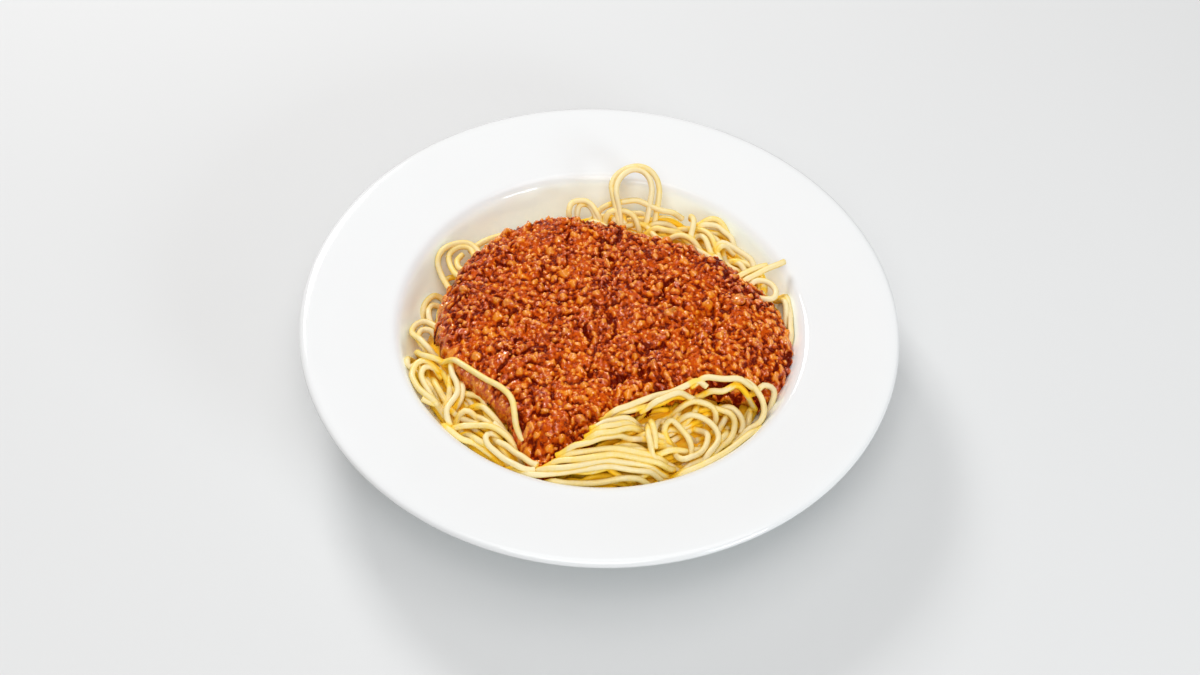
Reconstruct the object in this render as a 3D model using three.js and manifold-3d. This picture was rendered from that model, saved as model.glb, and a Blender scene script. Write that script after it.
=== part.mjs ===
// Spaghetti bolognese on its deep rimmed plate.
// Millimetres, +Z up. The origin is on the table under the plate's centre, and -Y is the diner's side.
// Azimuths are in degrees, counted from +X towards +Y.
import * as THREE from "three";
import { mergeVertices } from "three/addons/utils/BufferGeometryUtils.js";
import Module from "manifold-3d";

const wasm = await Module();
wasm.setup();

// ---------------------------------------------------------------- driving dimensions
const GAP = 0.35; // air between neighbouring nodes

const RIM_RADIUS = 135; // plate, outer edge
const RIM_HEIGHT = 46; // plate, top of the rim above the table
const RIM_RISE = 4.8; // the rim climbs this much from the well's lip to its edge
const LIP_RADIUS = 93.2; // where the rim turns down into the well
const FLOOR_HEIGHT = 7; // the well's floor above the table
const FLOOR_RADIUS = 46; // flat part of the well's floor
const FOOT_RADIUS = 50; // middle of the foot ring
const FOOT_WIDTH = 3.4;
const FOOT_HEIGHT = 2.6;
const WALL_THICKNESS = 4.2;
const PLATE_SEGMENTS = 42;

const STRAND_DIAMETER = 2.8; // cooked spaghetti
const STRAND_SIDES = 5;
const SECTION_SWELL = 1.1; // corners of a strand's section stand this much outside its round size
const STRAND_FACET = 14; // longest facet along a strand
const STRAND_BEND = 35; // largest bend between two facets, in degrees
const ARCH_BEND = 24; // the same on the arches, which stand free and show their outline
const STRAND_SINK = 0.5; // how far a strand presses into what it lies on
const SAMPLE_STEP = 2; // spacing of the points at which a strand's height is found
const STIFFNESS = 10; // rounds of smoothing: more makes a strand bridge wider dips
const CORE_TOP = 40; // top of the packed pasta under the sauce
const CORE_SECTORS = 36;
const CORE_RINGS = [34, 58, 68, 77, 85, 92]; // rings of points, closest where the pasta slopes to the wall

const SAUCE_DEPTH = 8.4; // depth of sauce over the packed pasta
const SAUCE_EDGE_DEPTH = 3.2; // depth of sauce at its outline
const SAUCE_SHOULDER = 20; // distance over which the sauce reaches its full depth
const SAUCE_HUMP = { height: 2.2, y: 30, spread: 1800 }; // extra depth towards the back of the mound
const SAUCE_FACET = 6; // azimuth between two corners of the sauce's outline, in degrees
const MINCE_PITCH = 4.15; // spacing of the relief's points: every third one is a lump
const MINCE_WANDER = 0.22; // how far a point leaves its place, as a share of the pitch
const MINCE_RELIEF = 1.1;
const LUMP_HEIGHTS = [0.5, 1.1]; // lowest and highest lump, in reliefs above the smooth top
const DIP_DEPTHS = [0.2, 0.9]; // shallowest and deepest point between them, in reliefs below it

// ---------------------------------------------------------------- shapes round the plate
// Edge of the packed pasta: azimuth, height at which it meets the well's wall, width of its slope.
const HEAP_EDGE = [
  [0, 32, 24],
  [45, 33, 26],
  [70, 28, 26],
  [100, 22, 20],
  [150, 24, 18],
  [175, 24, 18],
  [198, 31, 20],
  [235, 30, 26],
  [290, 30, 32],
  [325, 25, 28],
];

// Outline of the sauce: azimuth and distance from the plate's axis.
const SAUCE_REACH = [
  [3, 85], [13, 79], [26, 69], [45, 61], [68, 56], [92, 57], [112, 66], [132, 71],
  [160, 72], [187, 72], [202, 70], [218, 66], [233, 66], [245, 74], [255, 83], [264, 75],
  [272, 63], [281, 56], [297, 52], [318, 56], [328, 69], [336, 82], [347, 86],
];

/** Smooth periodic value at an azimuth, from stations [azimuth, value, ...]. */
function roundTheClock(stations, azimuth, column = 1) {
  const angle = ((azimuth % 360) + 360) % 360;
  const count = stations.length;
  let next = stations.findIndex((station) => station[0] > angle);
  if (next < 0) next = count;
  const pick = (index) => {
    const turns = Math.floor(index / count);
    const station = stations[index - turns * count];
    return [station[0] + 360 * turns, station[column]];
  };
  const [a0, v0] = pick(next - 1);
  const [a1, v1] = pick(next);
  const s = (angle - a0) / (a1 - a0);
  const ease = s * s * (3 - 2 * s);
  return v0 + (v1 - v0) * ease;
}

const azimuthOf = (x, y) => THREE.MathUtils.radToDeg(Math.atan2(y, x));
const smooth = (value) => THREE.MathUtils.smoothstep(value, 0, 1);

/** Repeatable numbers between 0 and 1. */
function seededRandom(seed) {
  let state = seed >>> 0;
  return () => {
    state = (state + 0x6d2b79f5) >>> 0;
    let mixed = Math.imul(state ^ (state >>> 15), 1 | state);
    mixed = (mixed + Math.imul(mixed ^ (mixed >>> 7), 61 | mixed)) ^ mixed;
    return ((mixed ^ (mixed >>> 14)) >>> 0) / 4294967296;
  };
}

// ---------------------------------------------------------------- geometry helpers
/** Merges shared vertices, drops triangles of no area and turns the faces outwards. */
function weld(geometry) {
  const bare = geometry.clone();
  for (const name of Object.keys(bare.attributes)) {
    if (name !== "position") bare.deleteAttribute(name);
  }
  const merged = mergeVertices(bare, 1e-4);
  const index = merged.index.array;
  const kept = [];
  let volume = 0;
  const corners = [new THREE.Vector3(), new THREE.Vector3(), new THREE.Vector3()];
  for (let i = 0; i < index.length; i += 3) {
    const [a, b, c] = [index[i], index[i + 1], index[i + 2]];
    if (a === b || b === c || c === a) continue;
    kept.push(a, b, c);
    [a, b, c].forEach((vertex, k) => corners[k].fromBufferAttribute(merged.attributes.position, vertex));
    volume += corners[0].dot(corners[1].clone().cross(corners[2])) / 6;
  }
  if (volume < 0) {
    for (let i = 0; i < kept.length; i += 3) [kept[i + 1], kept[i + 2]] = [kept[i + 2], kept[i + 1]];
  }
  merged.setIndex(kept);
  return merged;
}

/** Closed three.js geometry to a manifold solid. */
function toSolid(geometry) {
  const welded = weld(geometry);
  const mesh = new wasm.Mesh({
    numProp: 3,
    vertProperties: new Float32Array(welded.attributes.position.array),
    triVerts: new Uint32Array(welded.index.array),
  });
  mesh.merge();
  return new wasm.Manifold(mesh);
}

/** Manifold solid back to three.js geometry. */
function toGeometry(solid) {
  const mesh = solid.getMesh();
  const geometry = new THREE.BufferGeometry();
  geometry.setAttribute("position", new THREE.Float32BufferAttribute(mesh.vertProperties, 3));
  geometry.setIndex(Array.from(mesh.triVerts));
  geometry.computeVertexNormals();
  return geometry;
}

/** The largest outer body of a solid: loose scraps go, and sealed hollows are filled. */
function mainBody(solid) {
  const bodies = solid.decompose();
  bodies.sort((a, b) => b.volume() - a.volume());
  return bodies[0];
}

/** Turns a closed profile of [radius, height] about the plate's axis. */
function lathe(profile) {
  const points = profile.map(([radius, height]) => new THREE.Vector2(radius, height));
  const geometry = new THREE.LatheGeometry(points, PLATE_SEGMENTS);
  geometry.rotateX(Math.PI / 2);
  return geometry;
}

/** A closed mound: rings and sectors under height(x, y), down to a flat base. */
function mound(height, base) {
  const vertices = [0, 0, height(0, 0)];
  for (const radius of CORE_RINGS) {
    for (let sector = 0; sector < CORE_SECTORS; sector += 1) {
      const angle = (2 * Math.PI * sector) / CORE_SECTORS;
      const [x, y] = [radius * Math.cos(angle), radius * Math.sin(angle)];
      vertices.push(x, y, height(x, y));
    }
  }
  const skirt = vertices.length / 3;
  for (let sector = 0; sector < CORE_SECTORS; sector += 1) {
    const top = 3 * (skirt - CORE_SECTORS + sector);
    vertices.push(vertices[top], vertices[top + 1], base);
  }
  const bottom = vertices.length / 3;
  vertices.push(0, 0, base);
  const at = (ring, sector) => (ring === 0 ? 0 : 1 + (ring - 1) * CORE_SECTORS + (sector % CORE_SECTORS));
  const faces = [];
  for (let sector = 0; sector < CORE_SECTORS; sector += 1) {
    faces.push(0, at(1, sector), at(1, sector + 1));
    for (let ring = 1; ring <= CORE_RINGS.length; ring += 1) {
      const [a, b] = [at(ring, sector), at(ring, sector + 1)];
      const [c, d] = [at(ring + 1, sector), at(ring + 1, sector + 1)];
      faces.push(a, c, d, a, d, b);
    }
    faces.push(bottom, skirt + ((sector + 1) % CORE_SECTORS), skirt + sector);
  }
  const geometry = new THREE.BufferGeometry();
  geometry.setAttribute("position", new THREE.Float32BufferAttribute(vertices, 3));
  geometry.setIndex(faces);
  return geometry;
}

// ---------------------------------------------------------------- plate
const LIP_HEIGHT = RIM_HEIGHT - RIM_RISE;

// Upper face from the middle of the floor to the rim's crest: radius, height.
const UPPER_FACE = [
  [0, FLOOR_HEIGHT],
  [FLOOR_RADIUS, FLOOR_HEIGHT],
  [58, 8.4],
  [70, 12.8],
  [79, 19.6],
  [85, 27.6],
  [88.8, 34.8],
  [91, LIP_HEIGHT - 2.2],
  [LIP_RADIUS + 0.4, LIP_HEIGHT - 0.1],
  [LIP_RADIUS + 4, LIP_HEIGHT + 0.4],
  [RIM_RADIUS - 1.6, RIM_HEIGHT],
];

const RIM_EDGE = [
  [RIM_RADIUS, RIM_HEIGHT - 1.3],
  [RIM_RADIUS - 0.7, RIM_HEIGHT - 3],
  [RIM_RADIUS - 3, RIM_HEIGHT - WALL_THICKNESS],
];

const LOWER_FACE = [
  [LIP_RADIUS + 6.5, LIP_HEIGHT - WALL_THICKNESS + 0.5],
  [LIP_RADIUS + 1, LIP_HEIGHT - 8.5],
  [88.5, 22],
  [76, 9.4],
  [56, FOOT_HEIGHT],
  [FOOT_RADIUS + FOOT_WIDTH / 2, 0],
  [FOOT_RADIUS - FOOT_WIDTH / 2, 0],
  [FOOT_RADIUS - FOOT_WIDTH / 2 - 1.4, FOOT_HEIGHT],
  [0, FOOT_HEIGHT],
];

/** Height of the plate's upper face at a distance from the axis. */
function plateTop(radius) {
  for (let i = 1; i < UPPER_FACE.length; i += 1) {
    const [r0, z0] = UPPER_FACE[i - 1];
    const [r1, z1] = UPPER_FACE[i];
    if (radius <= r1) return z0 + ((z1 - z0) * (radius - r0)) / (r1 - r0);
  }
  return RIM_HEIGHT;
}

/** Distance from the axis at which the upper face reaches a height. */
function wallRadius(height) {
  for (let i = 2; i < UPPER_FACE.length; i += 1) {
    const [r0, z0] = UPPER_FACE[i - 1];
    const [r1, z1] = UPPER_FACE[i];
    if (height <= z1) return r0 + ((r1 - r0) * (height - z0)) / (z1 - z0);
  }
  return RIM_RADIUS;
}

/** The space over a face of the plate, a gap away from it. */
function spaceOverPlate(face) {
  const offset = face.map(([radius, height], i) => {
    const before = face[Math.max(i - 1, 0)];
    const after = face[Math.min(i + 1, face.length - 1)];
    const along = new THREE.Vector2(after[0] - before[0], after[1] - before[1]).normalize();
    return [Math.max(0, radius - along.y * GAP), height + along.x * GAP];
  });
  const ceiling = RIM_HEIGHT * 2;
  return lathe([...offset, [offset.at(-1)[0], ceiling], [0, ceiling]]);
}

const plateGeometry = weld(lathe([...UPPER_FACE, ...RIM_EDGE, ...LOWER_FACE]));

// ---------------------------------------------------------------- packed pasta and sauce surfaces
/** Top of the packed pasta. */
function coreTop(x, y) {
  const azimuth = azimuthOf(x, y);
  const edge = roundTheClock(HEAP_EDGE, azimuth, 1);
  const slope = roundTheClock(HEAP_EDGE, azimuth, 2);
  const inward = (wallRadius(edge) - Math.hypot(x, y)) / slope;
  return edge + (CORE_TOP - edge) * smooth(inward) + Math.min(inward, 0) * slope;
}

/** Distance inside the sauce's outline, negative outside it. */
const insideSauce = (x, y) => roundTheClock(SAUCE_REACH, azimuthOf(x, y)) - Math.hypot(x, y);

/** Smooth top of the sauce, without its relief of mince. */
function sauceTop(x, y) {
  const shoulder = smooth(Math.sqrt(Math.max(insideSauce(x, y), 0) / SAUCE_SHOULDER));
  const hump = SAUCE_HUMP.height * Math.exp(-(x * x + (y - SAUCE_HUMP.y) ** 2) / SAUCE_HUMP.spread);
  return coreTop(x, y) + GAP + SAUCE_EDGE_DEPTH + (SAUCE_DEPTH - SAUCE_EDGE_DEPTH + hump) * shoulder;
}

/** Slab whose top is a triangular lattice, one point in three raised as a lump of mince. */
function minceSlab(lift) {
  const random = seededRandom(7);
  const between = ([low, high]) => low + (high - low) * random();
  const wander = MINCE_PITCH * MINCE_WANDER;
  const half = LIP_RADIUS;
  const rowPitch = (MINCE_PITCH * Math.sqrt(3)) / 2;
  const rows = Math.ceil((2 * half) / rowPitch);
  const columns = Math.ceil((2 * half) / MINCE_PITCH);
  const vertices = [];
  for (let row = 0; row < rows; row += 1) {
    for (let column = 0; column < columns; column += 1) {
      const lump = (((column - Math.floor(row / 2)) % 3) + 3 + (row % 2) * 2) % 3 === 0;
      const x = (column + (row % 2) / 2) * MINCE_PITCH - half + (random() - 0.5) * 2 * wander;
      const y = row * rowPitch - half + (random() - 0.5) * 2 * wander;
      const relief = MINCE_RELIEF * (lump ? between(LUMP_HEIGHTS) : -between(DIP_DEPTHS));
      vertices.push(x, y, sauceTop(x, y) + relief + lift);
    }
  }
  const faces = [];
  for (let row = 0; row + 1 < rows; row += 1) {
    for (let column = 0; column + 1 < columns; column += 1) {
      const a = row * columns + column;
      const [b, c, d] = [a + 1, a + columns, a + columns + 1];
      if (row % 2) faces.push(a, b, d, a, d, c);
      else faces.push(a, b, c, b, d, c);
    }
  }
  const border = [];
  for (let column = 0; column < columns; column += 1) border.push(column);
  for (let row = 1; row < rows; row += 1) border.push(row * columns + columns - 1);
  for (let column = columns - 2; column >= 0; column -= 1) border.push((rows - 1) * columns + column);
  for (let row = rows - 2; row > 0; row -= 1) border.push(row * columns);
  const skirt = vertices.length / 3;
  border.forEach((vertex) => vertices.push(vertices[3 * vertex], vertices[3 * vertex + 1], 0));
  const middle = vertices.length / 3;
  vertices.push(0, 0, 0);
  border.forEach((vertex, i) => {
    const after = (i + 1) % border.length;
    faces.push(vertex, skirt + i, skirt + after, vertex, skirt + after, border[after]);
    faces.push(middle, skirt + after, skirt + i);
  });
  const geometry = new THREE.BufferGeometry();
  geometry.setAttribute("position", new THREE.Float32BufferAttribute(vertices, 3));
  geometry.setIndex(faces);
  return geometry;
}

/** Upright block inside the sauce's outline, grown by some margin. */
function sauceOutline(margin) {
  const points = [];
  for (let azimuth = 0; azimuth < 360; azimuth += SAUCE_FACET) {
    const reach = roundTheClock(SAUCE_REACH, azimuth) + margin;
    const angle = THREE.MathUtils.degToRad(azimuth);
    points.push(new THREE.Vector2(reach * Math.cos(angle), reach * Math.sin(angle)));
  }
  return new THREE.ExtrudeGeometry(new THREE.Shape(points), { depth: 2 * RIM_HEIGHT, bevelEnabled: false });
}

// ---------------------------------------------------------------- laying strands
const STRAND_RADIUS = STRAND_DIAMETER / 2;
const CELL = 1;
const MAP_REACH = 110;
const MAP_SIDE = (2 * MAP_REACH) / CELL + 1;

/** Height map of what the strands lie on. A strand rests on it like a rolling ball. */
class RestingMap {
  constructor(height) {
    this.heights = new Float32Array(MAP_SIDE * MAP_SIDE);
    for (let j = 0; j < MAP_SIDE; j += 1) {
      for (let i = 0; i < MAP_SIDE; i += 1) {
        this.heights[j * MAP_SIDE + i] = height(i * CELL - MAP_REACH, j * CELL - MAP_REACH);
      }
    }
  }

  /** Calls visit(cell, rise) for each cell under a strand's round section at (x, y). */
  underStrand(x, y, visit) {
    const span = Math.ceil(STRAND_RADIUS / CELL);
    const column = Math.round((x + MAP_REACH) / CELL);
    const row = Math.round((y + MAP_REACH) / CELL);
    for (let j = row - span; j <= row + span; j += 1) {
      for (let i = column - span; i <= column + span; i += 1) {
        const away = Math.hypot(i * CELL - MAP_REACH - x, j * CELL - MAP_REACH - y);
        if (away >= STRAND_RADIUS) continue;
        visit(j * MAP_SIDE + i, Math.sqrt(STRAND_RADIUS ** 2 - away ** 2));
      }
    }
  }

  /** Lowest height of a strand's middle at (x, y). */
  rest(x, y) {
    let height = -Infinity;
    this.underStrand(x, y, (cell, rise) => {
      height = Math.max(height, this.heights[cell] + rise);
    });
    return height - STRAND_SINK;
  }

  /** Adds the top of a strand whose middle is at (x, y, z). */
  stamp(point) {
    this.underStrand(point.x, point.y, (cell, rise) => {
      this.heights[cell] = Math.max(this.heights[cell], point.z + rise);
    });
  }

  /** Lays a flat route of Vector2 and returns its points in space. */
  lay(route) {
    const lag = Math.ceil((3 * STRAND_DIAMETER) / SAMPLE_STEP);
    const floor = [];
    const points = [];
    route.forEach(({ x, y }, i) => {
      floor.push(this.rest(x, y));
      points.push(new THREE.Vector3(x, y, floor[i]));
      if (i >= lag) this.stamp(points[i - lag]);
    });
    for (let round = 0; round < STIFFNESS; round += 1) {
      for (let i = 1; i + 1 < points.length; i += 1) {
        points[i].z = Math.max(floor[i], (points[i - 1].z + points[i + 1].z) / 2);
      }
    }
    points.forEach((point) => this.stamp(point));
    return points;
  }
}

/** Evenly spaced flat points along a smooth curve through hand-placed ones. */
function alongCurve(places) {
  const through = places.map(([x, y]) => new THREE.Vector3(x, y, 0));
  const curve = new THREE.CatmullRomCurve3(through, false, "centripetal");
  return curve.getSpacedPoints(Math.max(3, Math.round(curve.getLength() / SAMPLE_STEP)));
}

/** A bundle: parallel strands, spread sideways, each a little shorter than the one before. */
function bundle({ places, count = 1, spread = STRAND_DIAMETER, stagger = 0 }) {
  const routes = [];
  for (let n = 0; n < count; n += 1) {
    const points = alongCurve(places);
    const shifted = points.map((point, i) => {
      const before = points[Math.max(i - 1, 0)];
      const after = points[Math.min(i + 1, points.length - 1)];
      const along = new THREE.Vector3().subVectors(after, before).normalize();
      return new THREE.Vector3(point.x - along.y * n * spread, point.y + along.x * n * spread, 0);
    });
    const cut = Math.round((n * stagger) / SAMPLE_STEP);
    routes.push(shifted.slice(cut > 0 ? cut : 0, shifted.length + (cut < 0 ? cut : 0)));
  }
  return routes;
}

/** A curl: an oval spiral about a middle. Positive turns run anticlockwise. */
function curl({ middle, size, end, start, turns, lean = 0 }) {
  const points = [];
  const steps = Math.ceil(Math.abs(turns) * 24);
  const tilt = THREE.MathUtils.degToRad(lean);
  for (let i = 0; i <= steps; i += 1) {
    const s = i / steps;
    const angle = THREE.MathUtils.degToRad(start) + 2 * Math.PI * turns * s;
    const u = (size[0] + (end[0] - size[0]) * s) * Math.cos(angle);
    const v = (size[1] + (end[1] - size[1]) * s) * Math.sin(angle);
    const x = middle[0] + u * Math.cos(tilt) - v * Math.sin(tilt);
    const y = middle[1] + u * Math.sin(tilt) + v * Math.cos(tilt);
    points.push([x, y]);
  }
  return [alongCurve(points)];
}

const LONGEST_TURN = 1.5 * Math.PI; // a tube that turns more than this could cross itself

/** Cuts a strand where it has turned most of the way round. */
function sections(points) {
  const cuts = [0];
  let turned = 0;
  for (let i = 1; i + 1 < points.length; i += 1) {
    const before = new THREE.Vector3().subVectors(points[i], points[i - 1]).setZ(0);
    const after = new THREE.Vector3().subVectors(points[i + 1], points[i]).setZ(0);
    turned += before.angleTo(after);
    if (turned > LONGEST_TURN && points.length - i > 3) {
      cuts.push(i);
      turned = 0;
    }
  }
  cuts.push(points.length - 1);
  return cuts.slice(1).map((cut, i) => points.slice(Math.max(cuts[i] - 1, 0), cut + 1));
}

/** Sum of the bends along points, in radians. */
function turning(points) {
  let sum = 0;
  for (let i = 1; i + 1 < points.length; i += 1) {
    const before = new THREE.Vector3().subVectors(points[i], points[i - 1]);
    const after = new THREE.Vector3().subVectors(points[i + 1], points[i]);
    sum += before.angleTo(after);
  }
  return sum;
}

/** A closed tube of few sides along points in space, bending no more than some degrees at a facet. */
function tube(points, facetBend) {
  const curve = new THREE.CatmullRomCurve3(points, false, "centripetal");
  const section = new THREE.Shape();
  for (let side = 0; side < STRAND_SIDES; side += 1) {
    const angle = (2 * Math.PI * side) / STRAND_SIDES;
    const corner = STRAND_RADIUS * SECTION_SWELL;
    const [x, y] = [corner * Math.cos(angle), corner * Math.sin(angle)];
    if (side === 0) section.moveTo(x, y);
    else section.lineTo(x, y);
  }
  section.closePath();
  const bend = THREE.MathUtils.radToDeg(turning(curve.getSpacedPoints(points.length)));
  const steps = Math.max(2, Math.ceil(curve.getLength() / STRAND_FACET), Math.ceil(bend / facetBend));
  return new THREE.ExtrudeGeometry(section, { steps, extrudePath: curve, bevelEnabled: false });
}

// ---------------------------------------------------------------- strands, in the order they are laid
const UNDER_SAUCE = [
  // along the front wall, round the near side of the well
  bundle({
    places: [[-43, -77], [-23, -83], [-3, -85], [16, -83], [32, -79]],
    count: 3,
    spread: 3.1,
    stagger: 5,
  }),
  bundle({ places: [[-17, -76], [-3, -74], [9, -69], [20, -62]] }),
  bundle({ places: [[-14, -80], [3, -76], [20, -74], [33, -72]] }),
  bundle({ places: [[-1, -69], [8, -62], [20, -55]] }),
  bundle({ places: [[4, -62], [17, -56], [28, -51], [42, -46]] }),
  // left-front tangle and the strands that leave it along the lip
  curl({ middle: [-71, -39], size: [12, 15], end: [5, 7], start: 120, turns: 1.9, lean: 12 }),
  bundle({ places: [[-61, -44], [-52, -48], [-41, -57]], count: 3, spread: -2.8 }),
  bundle({ places: [[-61, -66], [-61, -58], [-57, -54], [-50, -55]] }),
  bundle({ places: [[-68, -57], [-63, -62], [-56, -64], [-47, -63], [-40, -65], [-29, -72]] }),
  bundle({ places: [[-33, -67], [-41, -66], [-46, -69], [-46, -74], [-42, -78], [-35, -80], [-24, -82]] }),
  bundle({ places: [[-44, -61], [-34, -68], [-25, -75]] }),
  bundle({ places: [[-65, -19], [-66, -28], [-63, -37], [-62, -47], [-64, -57], [-60, -66]] }),
  bundle({ places: [[-66, -25], [-60, -34], [-58, -44], [-62, -52]] }),
  bundle({ places: [[-81, -52], [-72, -55], [-64, -57]] }),
  // right-front whirl
  curl({ middle: [42, -61], size: [18, 16], end: [8, 10], start: 250, turns: 1.8 }),
  bundle({ places: [[70, -48], [63, -58], [54, -66], [44, -73], [33, -80]] }),
  bundle({ places: [[40, -72], [38, -61], [33, -53], [29, -57], [32, -64]] }),
  bundle({ places: [[23, -53], [23, -64], [26, -77]] }),
  // right: against the wall and towards the back
  bundle({ places: [[79, 26], [86, 19], [88, 9], [87, -4], [84, -14]] }),
  curl({ middle: [75, 22], size: [5.5, 5.5], end: [5, 5], start: 200, turns: -0.95 }),
  bundle({ places: [[58, 26], [70, 33], [82, 40]], count: 2, spread: 4 }),
  // back
  bundle({ places: [[42, 56], [48, 67], [57, 65], [64, 54], [70, 42]], count: 2, spread: -3.4 }),
  bundle({ places: [[48, 47], [55, 52], [63, 49], [69, 39], [70, 30]] }),
  bundle({ places: [[14, 60], [24, 65], [33, 66], [39, 57]] }),
  bundle({ places: [[2, 80], [13, 79], [22, 72], [28, 62]] }),
  bundle({ places: [[-6, 62], [3, 68], [12, 71], [22, 69], [30, 62]] }),
  bundle({ places: [[22, 47], [32, 53], [42, 50], [50, 42], [60, 30]] }),
  bundle({ places: [[38, 70], [41, 62], [42, 50]] }),
  curl({ middle: [-10, 65], size: [7, 7], end: [4, 4.5], start: 230, turns: -1.4 }),
  // back left, low against the open wall
  bundle({ places: [[-66, 46], [-57, 53], [-47, 58], [-36, 58]] }),
  curl({ middle: [-65, 38], size: [9.5, 12], end: [4, 5], start: 250, turns: -1.9 }),
  curl({ middle: [-68, 26], size: [4.5, 5.5], end: [4, 4.5], start: 20, turns: 0.8 }),
  bundle({ places: [[-81, 3], [-81, 12], [-77, 20], [-69, 24]], count: 2, spread: -4.2 }),
  bundle({ places: [[-64, 0], [-76, 1], [-84, -5], [-84, -12], [-76, -16], [-64, -19]] }),
  bundle({ places: [[-74, -3], [-81, -7], [-81, -16], [-76, -22], [-66, -22]] }),
  bundle({ places: [[-78, -21], [-84, -24], [-83, -30], [-76, -30]] }),
].flat();

const OVER_SAUCE = [
  bundle({ places: [[5, -58], [17, -52], [32, -45], [46, -39]] }),
  bundle({ places: [[36, -46], [45, -39], [54, -37], [64, -43], [66, -54]] }),
  bundle({ places: [[50, -40], [62, -36], [70, -40], [72, -49], [65, -59], [52, -69]] }),
  bundle({ places: [[66, -37], [74, -35], [77, -41], [73, -50], [66, -58]] }),
  bundle({ places: [[-66, -30], [-58, -35], [-47, -43], [-38, -51], [-35, -62], [-32, -74]] }),
].flat();

// Two strands that stand up from the heap and lean back, nearly together on their left.
const ARCHES = [
  [
    [7, 60, 36], [5.6, 65, 44], [3.5, 71, 50], [2.7, 76, 52], [4.9, 81, 53.5], [9.7, 84, 55.3],
    [15.2, 85, 56], [20.4, 84, 54.7], [23.9, 81, 52], [25.4, 77, 49], [25, 71, 45], [24, 66, 39],
    [23, 61, 34],
  ],
  [
    [8, 61, 37], [6.7, 66, 46], [5, 71, 51.7], [5.4, 76, 53.4], [8, 80, 55], [12.5, 83, 55.6],
    [17.2, 83, 54.6], [20.5, 80, 52.8], [21.8, 76, 50], [21.2, 71, 46], [20, 65, 39], [19, 61, 34],
  ],
].map((places) => places.map((place) => new THREE.Vector3(...place)));

// ---------------------------------------------------------------- solids
const overPlate = toSolid(spaceOverPlate(UPPER_FACE));
const overPlateRoughly = toSolid(spaceOverPlate(UPPER_FACE.filter((point, i) => i % 2 === 1 || i === 0)));
const core = toSolid(mound(coreTop, FLOOR_HEIGHT / 2)).intersect(overPlateRoughly);

const raisedCore = toSolid(mound((x, y) => coreTop(x, y) + GAP, FLOOR_HEIGHT / 2));
const sauce = mainBody(
  toSolid(minceSlab(0)).intersect(toSolid(sauceOutline(0))).intersect(overPlate).subtract(raisedCore),
);
const sauceColumn = toSolid(sauceOutline(GAP));
const sauceAndAir = toSolid(minceSlab(GAP)).intersect(sauceColumn);

const FACET_SAG = 0.35; // the plate's faces lie at most this far inside its round shape
const clearOfPlate = GAP + STRAND_SINK + FACET_SAG;
const map = new RestingMap((x, y) => Math.max(plateTop(Math.hypot(x, y)) + clearOfPlate, coreTop(x, y)));
const laidUnder = UNDER_SAUCE.map((route) => map.lay(route));
const sauceCrest = LUMP_HEIGHTS[1] * MINCE_RELIEF + GAP + STRAND_SINK;
for (let j = 0; j < MAP_SIDE; j += 1) {
  for (let i = 0; i < MAP_SIDE; i += 1) {
    const [x, y] = [i * CELL - MAP_REACH, j * CELL - MAP_REACH];
    if (insideSauce(x, y) < -GAP) continue;
    const cell = j * MAP_SIDE + i;
    map.heights[cell] = Math.max(map.heights[cell], sauceTop(x, y) + sauceCrest);
  }
}
const laidOver = OVER_SAUCE.map((route) => map.lay(route));

/** One solid of all the strands along some routes. */
function fuse(routes, facetBend) {
  return wasm.Manifold.union(routes.map((points) => toSolid(tube(points, facetBend))));
}

const besideSauce = fuse(laidUnder.flatMap(sections), STRAND_BEND).subtract(sauceColumn);
const arches = fuse(ARCHES, ARCH_BEND);
const overSauce = fuse(laidOver.flatMap(sections), STRAND_BEND).add(arches).subtract(sauceAndAir);
const strands = besideSauce.add(overSauce);
const spaghetti = mainBody(core.add(strands.intersect(overPlate)));

// ---------------------------------------------------------------- the model
const part = new THREE.Group();

/** Adds a named mesh to the model. */
function addMesh(name, geometry, colour, roughness) {
  const material = new THREE.MeshStandardMaterial({ color: colour, roughness, metalness: 0 });
  const mesh = new THREE.Mesh(geometry, material);
  mesh.name = name;
  part.add(mesh);
}

addMesh("plate", plateGeometry, 0xf4f4f2, 0.15);
addMesh("spaghetti", toGeometry(spaghetti), 0xf2dc92, 0.35);
addMesh("bolognese_sauce", toGeometry(sauce), 0xb8400f, 0.3);

export default part;
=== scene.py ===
"""Looks of a spaghetti bolognese on its deep rimmed plate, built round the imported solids.

The tables are in millimetres, +Z up and -Y towards the diner. Meshes, lamps and the camera are in metres.
"""

import logging
import math
from dataclasses import dataclass, field
from enum import Enum
from typing import Sequence

import bpy
import numpy as np
from mathutils import Matrix, Vector


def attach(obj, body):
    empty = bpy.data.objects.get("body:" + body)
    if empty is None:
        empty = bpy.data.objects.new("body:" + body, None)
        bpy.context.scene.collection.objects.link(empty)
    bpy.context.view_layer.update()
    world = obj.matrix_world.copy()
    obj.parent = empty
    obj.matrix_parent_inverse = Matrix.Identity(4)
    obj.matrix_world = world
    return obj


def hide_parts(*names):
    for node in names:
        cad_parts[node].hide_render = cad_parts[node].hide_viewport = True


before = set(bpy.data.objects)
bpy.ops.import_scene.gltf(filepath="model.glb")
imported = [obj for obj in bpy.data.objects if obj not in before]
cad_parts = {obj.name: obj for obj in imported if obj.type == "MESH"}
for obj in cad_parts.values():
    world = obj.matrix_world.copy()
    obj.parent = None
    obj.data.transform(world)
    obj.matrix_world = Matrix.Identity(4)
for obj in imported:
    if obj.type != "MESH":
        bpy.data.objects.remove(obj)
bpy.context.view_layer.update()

LOG = logging.getLogger("pasta_plate")
MM = 0.001
BODY = "root"
WHITE = (1.0, 1.0, 1.0)
STRETCH_POINTS = 16
LATTICE_SIDE = 256
OCTAVE_FADE = 0.55
PHASES = (0, 6.3)

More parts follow.
